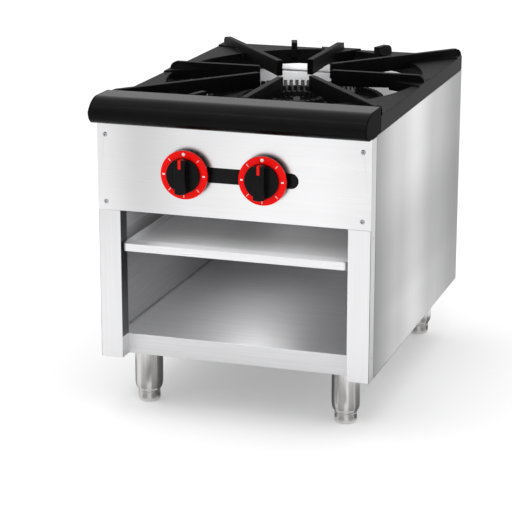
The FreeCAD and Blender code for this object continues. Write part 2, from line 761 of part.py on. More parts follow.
finish(cut("drip_tray", tray_blank, tray_pan, tray_under))

# Leg channels: folded channels under the shelf that take the leg studs
leg_x = half - size.leg_side_inset
leg_places = {"front": panel_y + size.leg_front_inset, "rear": back - size.leg_back_inset}
channel_wall = size.channel_wall
channel_span = (size.channel_end - half + size.side_flange, half - size.side_flange - size.channel_end)
channel_top = shelf_top - wall
for word, place in leg_places.items():
    name = f"{word}_leg_channel"
    reach = centred(place, size.channel_half)
    web = box(f"{name}_web", channel_span, reach, (bottom, bottom + channel_wall))
    rise = (bottom, channel_top)
    front_leaf = box(f"{name}_front_leaf", channel_span, (reach[0], reach[0] + channel_wall), rise)
    rear_leaf = box(f"{name}_rear_leaf", channel_span, (reach[1] - channel_wall, reach[1]), rise)
    folded = join(f"{name}_folded", web, front_leaf, rear_leaf)
    finish(cut(name, folded, *[
        rod(f"{name}_hole_{end}", "z", leg_x * side, place, bottom - channel_wall,
            size.stud_radius + size.fit_gap, channel_wall * 3)
        for end, side in SIDES
    ]))

# Legs and feet: a tapered tube with a stud at its head, and a foot screwed into its lower end
leg_low = size.foot_height + size.running_gap
bore = size.foot_stem_radius + size.running_gap
plug_top = leg_low + size.leg_plug
leg_round = tangent_radius(size.leg_taper, size.leg_radius - size.leg_end_radius)
leg_section = [
    (bore, leg_low),
    (size.leg_end_radius, leg_low),
    (size.leg_radius, leg_low + size.leg_taper, leg_round),
    (size.leg_radius, bottom),
    (size.stud_radius, bottom),
    (size.stud_radius, bottom + size.stud_length),
    (zero, bottom + size.stud_length),
    (zero, bottom - size.leg_lid),
    (size.leg_radius - size.leg_wall, bottom - size.leg_lid),
    (size.leg_radius - size.leg_wall, leg_low + size.leg_taper),
    (size.leg_end_radius - size.leg_wall, plug_top),
    (bore, plug_top),
]
foot_section = [
    (zero, zero),
    (size.foot_radius - size.foot_round, zero),
    (size.foot_radius, size.foot_round, size.foot_round),
    (size.foot_radius, size.foot_height),
    (size.foot_stem_radius, size.foot_height),
    (size.foot_stem_radius, size.foot_height + size.foot_stem),
    (zero, size.foot_height + size.foot_stem),
]
nuts = []
for word, place in leg_places.items():
    for end, side in SIDES:
        leg = turned(f"{word}_{end}_leg", leg_section)
        foot = turned(f"{word}_{end}_foot", foot_section)
        for piece in (leg, foot):
            bind(piece, "Placement.Base.x", leg_x * side)
            bind(piece, "Placement.Base.y", place)
            finish(piece)
        blank = doc.addObject("Part::Prism", f"leg_nut_blank_{word}_{end}")
        blank.Polygon = 6
        bind(blank, "Circumradius", size.nut_radius)
        bind(blank, "Height", size.nut_height)
        put(blank, leg_x * side, place, bottom + channel_wall)
        nut_bore = rod(f"leg_nut_bore_{word}_{end}", "z", leg_x * side, place, bottom,
                       size.stud_radius + size.fit_gap, size.nut_height * 2)
        nuts.append(cut(f"leg_nut_{word}_{end}", blank, nut_bore))
finish(group("leg_nuts", *nuts))

# Dial rings: a red ring on a hub that stands on the panel round each knob
dial_y = panel_y - size.dial_standoff - size.dial_thick
dial_bore = size.stem_radius + size.running_gap
dial_depth = size.dial_standoff + size.dial_thick
dials = []
for word, side in SIDES:
    dial = turned(f"dial_{word}", [
        (dial_bore, zero),
        (size.dial_hub_radius, zero),
        (size.dial_hub_radius, size.dial_standoff),
        (size.dial_radius, size.dial_standoff),
        (size.dial_radius, dial_depth - size.dial_round),
        (size.dial_radius - size.dial_round, dial_depth, size.dial_round),
        (dial_bore, dial_depth),
    ])
    dial.Placement = FreeCAD.Placement(FreeCAD.Vector(), FreeCAD.Rotation(FreeCAD.Vector(1, 0, 0), 90))
    put(dial, knob_x[word], panel_y, knob_z)
    dials.append(dial)
finish(group("dial_rings", *dials))

# Knobs: a disc with a grip bar, bored for the stem, and a red pointer let into the grip's face
disc_y = dial_y - size.running_gap
grip_y = disc_y - size.knob_disc
face_y = grip_y - size.grip_height
stem_front = grip_y - size.grip_height / 2
plug_y = valve_y + size.bonnet_length / 2
for word, side in SIDES:
    x = knob_x[word]
    disc = rod(f"knob_disc_{word}", "y", x, grip_y, knob_z, size.knob_radius, size.knob_disc)
    bar = box(f"knob_bar_{word}", centred(x, size.grip_width / 2), (face_y, grip_y),
              centred(knob_z, size.knob_radius))
    trim = rod(f"knob_trim_{word}", "y", x, face_y, knob_z, size.knob_radius, size.grip_height)
    grip = doc.addObject("Part::Common", f"knob_grip_{word}")
    grip.Base = bar
    grip.Tool = trim
    stem_bore = rod(f"knob_bore_{word}", "y", x, stem_front, knob_z, size.stem_radius + size.fit_gap,
                    size.grip_height + size.knob_disc)
    mark_low = knob_z + size.knob_radius - size.pointer_length - size.pointer_width
    mark_z = (mark_low, mark_low + size.pointer_length)
    mark_x = centred(x, size.pointer_width / 2)
    seat = box(f"knob_seat_{word}", mark_x, (face_y - size.pointer_thick, face_y + size.pointer_thick),
               mark_z)
    finish(cut(f"{word}_knob", join(f"knob_shape_{word}", disc, grip), stem_bore, seat))
    finish(box(f"{word}_knob_pointer", mark_x, (face_y, face_y + size.pointer_thick), mark_z))

# Valve stems: the stem from the knob and the plug that turns in the valve body
for word, side in SIDES:
    x = knob_x[word]
    shaft = rod(f"stem_shaft_{word}", "y", x, stem_front, knob_z, size.stem_radius, plug_y - stem_front)
    plug = rod(f"stem_plug_{word}", "y", x, plug_y, knob_z, size.plug_radius, size.plug_length)
    port = rod(f"stem_port_{word}", "x", x - size.plug_radius * 2, plug_y + size.plug_length / 2, knob_z,
               size.stem_radius, size.plug_radius * 4)
    finish(cut(f"{word}_valve_stem", join(f"stem_turned_{word}", shaft, plug), port))

# Gas valves: brass bodies on the manifold, bored for the plug, with bonnets and orifices
manifold_end = supply_x - size.elbow_bend
manifold_solid = rod("manifold_solid", "x", -size.manifold_reach, manifold_y, manifold_z, size.pipe_radius,
                     manifold_end + size.manifold_reach)
bonnets = []
orifices = []
for word, side in SIDES:
    x = knob_x[word]
    barrel = rod(f"valve_barrel_{word}", "y", x, valve_y, knob_z, size.valve_radius, size.valve_length)
    spigot = rod(f"valve_spigot_{word}", "z", x, manifold_y, manifold_z, size.spigot_radius,
                 size.manifold_drop)
    plug_bore = rod(f"valve_bore_{word}", "y", x, valve_y - wall, knob_z, size.plug_radius + size.running_gap,
                    plug_y - valve_y + wall + size.plug_length + size.running_gap)
    finish(cut(f"{word}_gas_valve", join(f"valve_cast_{word}", barrel, spigot), plug_bore, manifold_solid))
    bonnet = rod(f"bonnet_blank_{word}", "y", x, valve_y - size.bonnet_length, knob_z,
                 size.bonnet_radius, size.bonnet_length)
    bonnet_bore = rod(f"bonnet_bore_{word}", "y", x, valve_y - size.bonnet_length * 2, knob_z,
                      size.stem_radius + size.running_gap, size.bonnet_length * 3)
    bonnets.append(cut(f"bonnet_{word}", bonnet, bonnet_bore))
    hood = rod(f"orifice_blank_{word}", "y", x, orifice_y, knob_z, size.orifice_radius, size.orifice_length)
    jet = rod(f"orifice_jet_{word}", "y", x, orifice_y - wall, knob_z, size.orifice_bore,
              size.orifice_length * 2)
    orifices.append(cut(f"orifice_{word}", hood, jet))
finish(group("valve_bonnets", *bonnets))
finish(group("gas_orifices", *orifices))

# Manifold, saddles, elbow, supply pipe and inlet nipple
manifold_void = rod("manifold_void", "x", size.pipe_wall - size.manifold_reach, manifold_y, manifold_z,
                    pipe_bore, manifold_end + size.manifold_reach)
finish(cut("gas_manifold", manifold_solid, manifold_void))
saddle_z = (panel_low + wall, manifold_z)
saddle_x = manifold_end - size.saddle_clear - size.saddle_width / 2
finish(group("manifold_saddles", *[
    cut(
        f"saddle_{word}",
        box(f"saddle_block_{word}", centred(saddle_x * side, size.saddle_width / 2),
            (manifold_y - size.pipe_radius, panel_y + size.panel_foot), saddle_z),
        rod(f"saddle_seat_{word}", "x", saddle_x * side - size.saddle_width, manifold_y, manifold_z,
            size.pipe_radius, size.saddle_width * 2),
    )
    for word, side in SIDES
]))
elbow_turn = FreeCAD.Rotation(FreeCAD.Vector(0, 0, 1), -90)
elbow_y = manifold_y + size.elbow_bend
elbow_skin = bend("elbow_skin", manifold_end, elbow_y, manifold_z, elbow_turn, size.elbow_bend,
                  size.pipe_radius + size.elbow_wall)
elbow_bore = bend("elbow_bore", manifold_end, elbow_y, manifold_z, elbow_turn, size.elbow_bend, pipe_bore)
finish(cut("supply_elbow", elbow_skin, elbow_bore))
collar_y = rear_liner_y + liner_wall * 2
supply_solid = rod("supply_solid", "y", supply_x, elbow_y, manifold_z, size.pipe_radius, collar_y - elbow_y)
supply_void = rod("supply_void", "y", supply_x, elbow_y - wall, manifold_z, pipe_bore,
                  collar_y - elbow_y + wall * 2)
finish(cut("supply_pipe", supply_solid, supply_void))
nipple_end = back - size.inlet_stop
nipple_length = nipple_end - collar_y
collar = rod("inlet_collar_ring", "y", supply_x, collar_y, manifold_z, size.inlet_collar, back_y - collar_y)
nipple = rod("inlet_pipe", "y", supply_x, collar_y, manifold_z, size.pipe_radius, nipple_length)
nipple_bore = rod("inlet_bore", "y", supply_x, collar_y - wall, manifold_z, pipe_bore,
                  nipple_length + wall * 2)
finish(cut("inlet_nipple", join("inlet_solid", collar, nipple), nipple_bore))

# Air shutters: caps that turn on the mixing tubes' mouths to let in more or less air
shutter_bore = size.mixer_radius + size.running_gap
shutter_radius = shutter_bore + size.shutter_wall
shutter_face = mixer_y - size.running_gap - size.shutter_wall
window_inner = size.orifice_radius + size.shutter_wall * 2
window_outer = size.mixer_radius - size.mixer_wall
for word, side in SIDES:
    x = knob_x[word]
    shell = rod(f"shutter_shell_{word}", "y", x, shutter_face, knob_z, shutter_radius,
                size.shutter_wall + size.running_gap + size.shutter_length)
    hollow = rod(f"shutter_hollow_{word}", "y", x, mixer_y - size.running_gap, knob_z, shutter_bore,
                 size.shutter_length * 2)
    eye = rod(f"shutter_eye_{word}", "y", x, shutter_face - wall, knob_z,
              size.orifice_radius + size.running_gap,
              size.shutter_wall + wall * 2)
    windows = []
    for end, way in (("low", -1), ("high", 1)):
        inner, outer = across(way, window_inner, window_outer)
        windows.append(box(f"shutter_window_{word}_{end}", centred(x, size.shutter_window / 2),
                           (shutter_face - wall, mixer_y), (knob_z + inner, knob_z + outer)))
    finish(cut(f"{word}_air_shutter", shell, hollow, eye, *windows))


# Toothed rings: a ring with gaps cut through its upper part at an even pitch
def crown(name, radius):
    """A toothed ring of a radius, about the burner's middle."""
    ring = cut(
        f"{name}_ring",
        rod(f"{name}_blank", "z", zero, burner_y, teeth_low, radius + size.crown_wall / 2, size.tooth_height),
        rod(f"{name}_eye", "z", zero, burner_y, teeth_low - size.tooth_height,
            radius - size.crown_wall / 2, size.tooth_height * 3),
    )
    width = size.tooth_gap.number
    depth = size.crown_wall.number
    height = size.tooth_height.number
    inside = FreeCAD.Vector(radius.number - depth, -width / 2, height / 4)
    gap = Part.makeBox(depth * 2, width, height, inside)
    count = round(2 * math.pi * radius.number / size.tooth_pitch.number)
    gaps = []
    for index in range(count):
        tooth_gap = gap.copy()
        tooth_gap.rotate(FreeCAD.Vector(), FreeCAD.Vector(0, 0, 1), 360 * index / count)
        gaps.append(tooth_gap)
    cutters = doc.addObject("Part::Feature", f"{name}_gaps")
    cutters.Shape = Part.makeCompound(gaps)
    put(cutters, zero, burner_y, teeth_low)
    return cut(f"{name}_toothed", ring, cutters)


# Outer burner: gas chamber under two toothed rings, riser and mixing tube, one casting
chamber_in = size.middle_crown - size.chamber_margin
chamber_out = size.outer_crown + size.chamber_margin
casting = size.chamber_wall
mixer_bore = size.mixer_radius - size.mixer_wall
riser_x = knob_x["left"]
riser_y = burner_y - root(size.outer_crown * size.outer_crown - riser_x * riser_x)
outer_end = riser_y + size.riser_offset
chamber_block = cut(
    "chamber_block",
    rod("chamber_disc", "z", zero, burner_y, chamber_low, chamber_out, size.chamber_height),
    rod("chamber_eye", "z", zero, burner_y, chamber_low - casting, chamber_in, size.chamber_height * 2),
)
chamber_void = cut(
    "chamber_void",
    rod("chamber_void_disc", "z", zero, burner_y, chamber_low + casting, chamber_out - casting,
        size.chamber_height - casting * 2),
    rod("chamber_void_eye", "z", zero, burner_y, chamber_low, chamber_in + casting, size.chamber_height),
)
riser = rod("riser", "z", riser_x, riser_y, knob_z, size.mixer_radius, chamber_low + casting - knob_z)
riser_void = rod("riser_void", "z", riser_x, riser_y, knob_z, mixer_bore, chamber_low + casting * 2 - knob_z)
outer_mixer = rod("outer_mixer", "y", riser_x, mixer_y, knob_z, size.mixer_radius, outer_end - mixer_y)
outer_mixer_void = rod("outer_mixer_void", "y", riser_x, mixer_y - casting, knob_z, mixer_bore,
                       outer_end - mixer_y)
outer_solid = cut(
    "outer_burner_casting",
    join("outer_burner_solid", chamber_block, riser, outer_mixer),
    join("outer_burner_void", chamber_void, riser_void, outer_mixer_void),
)
outer_rings = [crown("outer_crown", size.outer_crown), crown("middle_crown", size.middle_crown)]
finish(join("outer_burner", outer_solid, *outer_rings))

# Burner rests: two ledged bars from liner to liner; the chamber stands on them
rest_top = chamber_low
rest_low = rest_top - size.rest_height
ledge_top = rest_low + size.rest_wall
for word, side in (("front", -1), ("rear", 1)):
    name = f"{word}_burner_rest"
    outer_face = burner_y + size.rest_offset * side
    leaf_y = (outer_face, outer_face + size.rest_wall) if side < 0 else (outer_face - size.rest_wall,
                                                                         outer_face)
    ledge_y = (outer_face, outer_face + size.rest_foot) if side < 0 else (outer_face - size.rest_foot,
                                                                          outer_face)
    leaf = box(f"{name}_leaf", (-liner_x, liner_x), leaf_y, (rest_low, rest_top))
    ledge = box(f"{name}_ledge", (-liner_x, liner_x), ledge_y, (rest_low, ledge_top))
    finish(join(name, leaf, ledge))

# Inner burner: a drum with its own mixing tube, a toothed ring and two ears on the rests
drum_low = knob_z - size.mixer_radius - size.drum_gap
drum_top = knob_z + size.mixer_radius + size.drum_gap
inner_x = knob_x["right"]
neck_radius = size.inner_crown + size.chamber_margin
drum = rod("drum", "z", zero, burner_y, drum_low, size.drum_radius, drum_top - drum_low)
neck = rod("neck", "z", zero, burner_y, drum_low, neck_radius, teeth_low - drum_low)
ear_reach = size.rest_offset - size.rest_wall * 2
ears = box("ears", centred(zero, size.ear_half), centred(burner_y, ear_reach),
           (ledge_top, ledge_top + size.ear_thick))
inner_mixer = rod("inner_mixer", "y", inner_x, mixer_y, knob_z, size.mixer_radius, burner_y - mixer_y)
drum_void = rod("drum_void", "z", zero, burner_y, drum_low + casting, size.drum_radius - casting,
                drum_top - drum_low - casting * 2)
neck_void = rod("neck_void", "z", zero, burner_y, drum_low + casting, neck_radius - casting * 2,
                teeth_low - drum_low - casting * 2)
inner_mixer_void = rod("inner_mixer_void", "y", inner_x, mixer_y - casting, knob_z, mixer_bore,
                       burner_y - mixer_y)
inner_solid = cut(
    "inner_burner_casting",
    join("inner_burner_solid", drum, neck, ears, inner_mixer),
    join("inner_burner_void", drum_void, neck_void, inner_mixer_void),
)
finish(join("inner_burner", inner_solid, crown("inner_crown", size.inner_crown)))

# Pilot: a small valve on the manifold, a bent tube, and a burner beside the outer ring
pilot_x = size.pilot_place
pilot_low = manifold_z
pilot_top = manifold_z + size.pipe_radius + size.pilot_height
pilot_barrel = rod("pilot_barrel", "z", pilot_x, manifold_y, pilot_low, size.pilot_radius,
                   pilot_top - pilot_low)
finish(cut("pilot_valve", pilot_barrel, manifold_solid))
pilot_y = burner_y - chamber_out - size.pilot_gap - size.pilot_head_radius
pilot_stop = pilot_y - size.pilot_head_radius
pilot_turn = FreeCAD.Rotation(
    FreeCAD.Vector(0, 0, 1), FreeCAD.Vector(0, -1, 0), FreeCAD.Vector(1, 0, 0), "XYZ"
)
pilot_bend_y = manifold_y + size.pilot_bend
pilot_bend_z = pilot_top + size.pilot_rise
finish(join(
    "pilot_tube",
    rod("pilot_upright", "z", pilot_x, manifold_y, pilot_top, size.pilot_tube_radius, size.pilot_rise),
    bend("pilot_elbow", pilot_x, pilot_bend_y, pilot_bend_z, pilot_turn, size.pilot_bend,
         size.pilot_tube_radius),
    rod("pilot_run", "y", pilot_x, pilot_bend_y, pilot_bend_z + size.pilot_bend, size.pilot_tube_radius,
        pilot_stop - pilot_bend_y),
))
bracket_top = pilot_tube_z - size.pilot_tube_radius - size.bracket_wall
finish(rod("pilot_burner", "z", pilot_x, pilot_y, bracket_top, size.pilot_head_radius, size.pilot_head))
bracket_x = centred(pilot_x, size.bracket_width / 2)
bracket_start = shield_y + liner_wall
finish(join(
    "pilot_bracket",
    box("bracket_strip", bracket_x, (bracket_start, pilot_y + size.pilot_head_radius),
        (bracket_top - size.bracket_wall, bracket_top)),
    box("bracket_leaf", bracket_x, (bracket_start, bracket_start + size.bracket_wall),
        (bracket_top - size.bracket_width, bracket_top)),
))

# Top grate: one casting of a hollow plate with an oval opening, fingers, root webs and stubs
grate_half = (back - grate_y) / 2
grate_x = (-half, half)
plate_block = box("grate_block", grate_x, (grate_y, back), (plate_low, plate_top))
oval_x = half - size.opening_margin
oval_y = grate_half - size.opening_margin


def oval(name, reach_x, reach_y, low, high):
    """An upright oval column about the grate's middle, longer in Y."""
    rim = doc.addObject("Part::Ellipse", f"{name}_rim")
    rim.Placement = FreeCAD.Placement(FreeCAD.Vector(), FreeCAD.Rotation(FreeCAD.Vector(0, 0, 1), 90))
    bind(rim, "MajorRadius", reach_y)
    bind(rim, "MinorRadius", reach_x)
    put(rim, zero, burner_y, low)
    column = doc.addObject("Part::Extrusion", name)
    column.Base = rim
    column.DirMode = "Custom"
    column.Dir = FreeCAD.Vector(0, 0, 1)
    column.Solid = True
    bind(column, "LengthFwd", high - low)
    return column


skirt = size.plate_wall
opening = oval("grate_opening", oval_x, oval_y, plate_low - skirt, finger_top)
corner_blocks = box("grate_corner_blocks", (skirt - half, half - skirt), (grate_y + skirt, back - skirt),
                    (plate_low - skirt, plate_top - size.plate_thick))
oval_wall = oval("grate_oval_wall", oval_x + skirt, oval_y + skirt, plate_low - skirt * 2, plate_top)
corner_hollows = cut("grate_corner_hollows", corner_blocks, oval_wall)
plate = cut("grate_plate", plate_block, opening, corner_hollows)


def finger(name, inner, outer, degrees):
    """A bar from near the middle to the grate's edge, its outer end rounded over."""
    turn_round = size.finger_round
    bar = padded(name, "XZ_Plane", [
        (inner, finger_low),
        (outer, plate_top - size.plate_thick),
        (outer, finger_top - turn_round),
        (outer - turn_round, finger_top, turn_round),
        (inner, finger_top),
    ], size.finger_width, symmetric=True)
    bind(bar, "Placement.Base.y", burner_y)
    bar.setExpression("Placement.Rotation.Angle", degrees)
    return bar


def root_web(name, outer, degrees):
    """The flared web where a finger grows out of the plate."""
    web = doc.addObject("Part::Wedge", name)
    inner = outer - size.web_length
    level = (plate_top + size.web_rise - size.web_depth, plate_top + size.web_rise)
    for prop, value in (
        ("Xmin", -size.web_inner / 2), ("Xmax", size.web_inner / 2), ("Ymin", inner), ("Ymax", outer),
        ("X2min", -size.web_outer / 2), ("X2max", size.web_outer / 2),
        ("Zmin", level[0]), ("Zmax", level[1]), ("Z2min", level[0]), ("Z2max", level[1]),
    ):
        bind(web, prop, value)
    bind(web, "Placement.Base.y", burner_y)
    web.setExpression("Placement.Rotation.Angle", f"{degrees} - 90 deg")
    return web


corner_reach = root(half * half + grate_half * grate_half) - size.corner_trim
lean = f"atan({grate_half.text} / {half.text})"
stub_reach = root(size.stub_place * size.stub_place + grate_half * grate_half)
stub_lean = f"atan({grate_half.text} / {size.stub_place.text})"
arms = []
for index, (inner, outer, degrees) in enumerate((
    (size.hole_across, half, "0 deg"),
    (size.corner_hole, corner_reach, lean),
    (size.hole_along, grate_half, "90 deg"),
    (size.corner_hole, corner_reach, f"180 deg - {lean}"),
    (size.hole_across, half, "180 deg"),
    (size.corner_hole, corner_reach, f"180 deg + {lean}"),
    (size.hole_along, grate_half, "270 deg"),
    (size.corner_hole, corner_reach, f"360 deg - {lean}"),
)):
    arms.append(finger(f"grate_finger_{index}", inner, outer, degrees))
    arms.append(root_web(f"grate_web_{index}", outer, degrees))
stub_turns = (stub_lean, f"180 deg - {stub_lean}", f"180 deg + {stub_lean}", f"360 deg - {stub_lean}")
for index, degrees in enumerate(stub_turns):
    arms.append(finger(f"grate_stub_{index}", stub_reach - size.stub_length, stub_reach, degrees))
bounds = box("grate_bounds", grate_x, (grate_y, back), (plate_low, finger_top))
arm_trim = doc.addObject("Part::Common", "grate_arms")
arm_trim.Base = join("grate_arms_rough", *arms)
arm_trim.Tool = bounds
finish(join("top_grate", plate, arm_trim))

# Check every object, then write the sub-parts
doc.recompute()
for obj in doc.Objects:
    if "Invalid" in obj.State or "Error" in obj.State:
        raise RuntimeError(f"{obj.Name} failed: {obj.State}")
for obj in parts:
    shape = obj.Shape
    if shape.isNull() or not shape.isValid() or not shape.Solids:
        raise RuntimeError(f"{obj.Label} has no valid solid")
os.makedirs("parts", exist_ok=True)
for obj in parts:
    obj.Shape.exportStep(f"parts/{obj.Label}.step")
print(len(parts), "sub-parts written")
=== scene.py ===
from math import asin, cos, pi, radians, sin

import bmesh
import bpy
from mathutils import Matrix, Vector


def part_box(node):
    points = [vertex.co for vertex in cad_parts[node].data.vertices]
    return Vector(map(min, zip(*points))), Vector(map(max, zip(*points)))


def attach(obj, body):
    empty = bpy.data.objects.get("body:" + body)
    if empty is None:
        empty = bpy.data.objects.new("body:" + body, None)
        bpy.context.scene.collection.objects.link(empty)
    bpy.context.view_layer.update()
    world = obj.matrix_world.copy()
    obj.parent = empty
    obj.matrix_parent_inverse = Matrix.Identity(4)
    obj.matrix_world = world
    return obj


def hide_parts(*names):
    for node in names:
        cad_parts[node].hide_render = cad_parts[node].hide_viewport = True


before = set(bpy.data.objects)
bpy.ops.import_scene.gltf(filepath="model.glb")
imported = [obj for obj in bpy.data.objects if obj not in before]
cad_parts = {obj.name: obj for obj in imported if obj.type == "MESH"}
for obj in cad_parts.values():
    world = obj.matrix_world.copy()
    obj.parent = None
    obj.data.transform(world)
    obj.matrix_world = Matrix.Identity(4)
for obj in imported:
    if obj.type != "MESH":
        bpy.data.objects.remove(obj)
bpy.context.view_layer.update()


# Legs: stainless tubes, spun in to a narrower collar at the lower end and polished along the tube.
# A stud on each head goes up through the leg channel under the cabinet and takes a nut there.

leg_places = {
    "front_left": (-0.1745, -0.230),
    "front_right": (0.1745, -0.230),
    "rear_left": (-0.1745, 0.278),
    "rear_right": (0.1745, 0.278),
}
leg_radius = 0.024
leg_collar = 0.0190
collar_rim = 0.0016
leg_low = 0.0183
leg_shoulder = 0.0215
leg_straight = 0.0483
leg_head = 0.095
leg_edge = 0.0006
shoulder_steps = 20
shoulder_draw = 5.5
stud_radius = 0.006
stud_head = 0.112
stud_edge = 0.0008
turning_steps = 96
crease = radians(38)
leg_steel_pale = (0.72, 0.71, 0.70, 1)
leg_steel_dark = (0.58, 0.57, 0.56, 1)


def wired(tree, kind, options, feeds):
    """Adds a node to a tree with its options set, and its inputs given a value or linked to a socket."""
    node = tree.nodes.new(kind)
    for option, value in options.items():
        setattr(node, option, value)
    for place, value in feeds.items():
        if isinstance(value, bpy.types.NodeSocket):
            tree.links.new(value, node.inputs[place])
        else:
            node.inputs[place].default_value = value
    return node


def reckoned(tree, operation, *terms):
    """One step of arithmetic on numbers or sockets, as the socket that holds the result."""
    return wired(tree, "ShaderNodeMath", {"operation": operation}, dict(enumerate(terms))).outputs[0]


def brush_marks_group():
    """Long fine scratches along one direction, and wider smears over them."""
    tree = bpy.data.node_groups.new("brush_marks", "ShaderNodeTree")
    for name in ("Place", "Stretch"):
        tree.interface.new_socket(name, in_out="INPUT", socket_type="NodeSocketVector")
    for name in ("Streak", "Smear"):
        tree.interface.new_socket(name, in_out="OUTPUT", socket_type="NodeSocketFloat")
    inlet = tree.nodes.new("NodeGroupInput").outputs
    outlet = tree.nodes.new("NodeGroupOutput").inputs
    drawn = wired(tree, "ShaderNodeVectorMath", {"operation": "MULTIPLY"},
                  {0: inlet["Place"], 1: inlet["Stretch"]})
    streak = wired(tree, "ShaderNodeTexNoise", {},
                   {"Vector": drawn.outputs[0], "Scale": 1.0, "Detail": 5.0, "Roughness": 0.62})
    pulled = wired(tree, "ShaderNodeVectorMath", {"operation": "SCALE"},
                   {0: drawn.outputs[0], "Scale": 0.05})
    smear = wired(tree, "ShaderNodeTexNoise", {},
                  {"Vector": pulled.outputs[0], "Scale": 1.0, "Detail": 3.0, "Roughness": 0.5})
    tree.links.new(streak.outputs[0], outlet["Streak"])
    tree.links.new(smear.outputs[0], outlet["Smear"])
    return tree


brush_marks = brush_marks_group()


def brushed_steel(name, pale, dark, stretch, smooth, dull, depth, metal=1.0):
    """Stainless sheet or tube: tone, gloss and relief all follow the same brush marks."""
    material = bpy.data.materials.new(name)
    material.use_nodes = True
    tree = material.node_tree
    shader = tree.nodes["Principled BSDF"].inputs
    where = tree.nodes.new("ShaderNodeTexCoord")
    marks = wired(tree, "ShaderNodeGroup", {"node_tree": brush_marks},
                  {"Place": where.outputs["Object"], "Stretch": stretch}).outputs
    smear_share = 0.6
    blend = reckoned(tree, "MULTIPLY_ADD", marks["Smear"], smear_share, marks["Streak"])
    tone = wired(tree, "ShaderNodeValToRGB", {}, {"Fac": blend})
    darkest, palest = tone.color_ramp.elements
    darkest.position = 0.55
    darkest.color = dark
    palest.position = 1.0
    palest.color = pale
    tree.links.new(tone.outputs["Color"], shader["Base Color"])
    gloss = wired(tree, "ShaderNodeMapRange", {},
                  {"Value": blend, "From Min": 0.5, "From Max": 1.1, "To Min": dull, "To Max": smooth})
    tree.links.new(gloss.outputs["Result"], shader["Roughness"])
    relief = wired(tree, "ShaderNodeBump", {},
                   {"Strength": 0.25, "Distance": depth, "Height": marks["Streak"]})
    tree.links.new(relief.outputs["Normal"], shader["Normal"])
    shader["Metallic"].default_value = metal
    return material


def ring_faces(form, rings):
    """Skins a row of equal rings of points with four-sided faces, round and round."""
    for outer, inner in zip(rings, rings[1:]):
        for step in range(len(outer)):
            after = (step + 1) % len(outer)
            form.faces.new((outer[step], outer[after], inner[after], inner[step]))


def set_down(name, made):
    """Puts a mesh, a lamp or a camera into the scene as an object of the given name."""
    piece = bpy.data.objects.new(name, made)
    bpy.context.scene.collection.objects.link(piece)
    return piece


def shaped(name, form):
    """Makes a finished form a piece, shaded round between its sharp edges."""
    bmesh.ops.recalc_face_normals(form, faces=form.faces)
    mesh = bpy.data.meshes.new(name)
    form.to_mesh(mesh)
    form.free()
    mesh.shade_smooth()
    mesh.set_sharp_from_angle(angle=crease)
    return set_down(name, mesh)


def spun(name, profile, centre):
    """A closed shape turned about an upright line, from (radius, height) corners, lowest first."""
    form = bmesh.new()
    rings = []
    for radius, height in profile:
        ring = []
        for step in range(turning_steps):
            turn = 2 * pi * step / turning_steps
            corner = (centre[0] + radius * cos(turn), centre[1] + radius * sin(turn), height)
            ring.append(form.verts.new(corner))
        rings.append(ring)
    ring_faces(form, rings)
    form.faces.new(list(reversed(rings[0])))
    form.faces.new(rings[-1])
    return shaped(name, form)


leg_profile = [
    (leg_collar - leg_edge, leg_low),
    (leg_collar, leg_low + leg_edge),
    (leg_collar, leg_low + collar_rim),
    (leg_collar + leg_edge, leg_shoulder),
]
shoulder_spread = leg_radius - leg_collar - leg_edge
for step in range(1, shoulder_steps + 1):
    share = step / shoulder_steps
    leg_profile.append((leg_radius - shoulder_spread * (1 - share) ** shoulder_draw,
                        leg_shoulder + (leg_straight - leg_shoulder) * share))
leg_profile += [
    (leg_radius, leg_head - leg_edge),
    (leg_radius - leg_edge, leg_head),
    (stud_radius, leg_head),
    (stud_radius, stud_head - stud_edge),
    (stud_radius - stud_edge, stud_head),
]
polished_leg = brushed_steel("polished_leg", leg_steel_pale, leg_steel_dark, stretch=(420, 420, 14),
                             smooth=0.2, dull=0.28, depth=0.00002)
for place, centre in leg_places.items():
    leg = spun(f"{place}_polished_leg", leg_profile, centre)
    leg.data.materials.append(polished_leg)
    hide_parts(f"{place}_leg")
    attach(leg, "cabinet")


# Feet: turned stainless feet on a threaded stem, screwed into the legs' lower ends to level the stove.
# The lathe leaves fine rings on the side, and the lower edge is rounded so that it slides on a floor.

foot_radius = 0.0187
foot_height = 0.018
foot_edge = 0.0008
foot_round = 0.005
foot_round_steps = 8
foot_stem_radius = 0.008
foot_stem_head = 0.064
foot_stem_edge = 0.001
foot_profile = []
for step in range(foot_round_steps + 1):
    turn = (pi / 2) * step / foot_round_steps
    foot_profile.append((foot_radius - foot_round + foot_round * sin(turn),
                         foot_round - foot_round * cos(turn)))
foot_profile += [
    (foot_radius, foot_height - foot_edge),
    (foot_radius - foot_edge, foot_height),
    (foot_stem_radius, foot_height),
    (foot_stem_radius, foot_stem_head - foot_stem_edge),
    (foot_stem_radius - foot_stem_edge, foot_stem_head),
]
turned_foot = brushed_steel("turned_foot", leg_steel_pale, leg_steel_dark, stretch=(30, 30, 1600),
                            smooth=0.2, dull=0.32, depth=0.0001)
for place, centre in leg_places.items():
    foot = spun(f"{place}_turned_foot", foot_profile, centre)
    foot.data.materials.append(turned_foot)
    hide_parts(f"{place}_foot")
    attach(foot, f"foot_{place}")


# Leg channels and nuts: folded steel channels across the cabinet floor carry the leg studs.
# Both stay as built: the channels take a duller mill finish because nobody sees or polishes them, the
# nuts a zinc finish.

def steel_tone(level):
    """A grey with a trace of blue, as plain stainless steel has."""
    return (level, level, level + 0.01, 1)


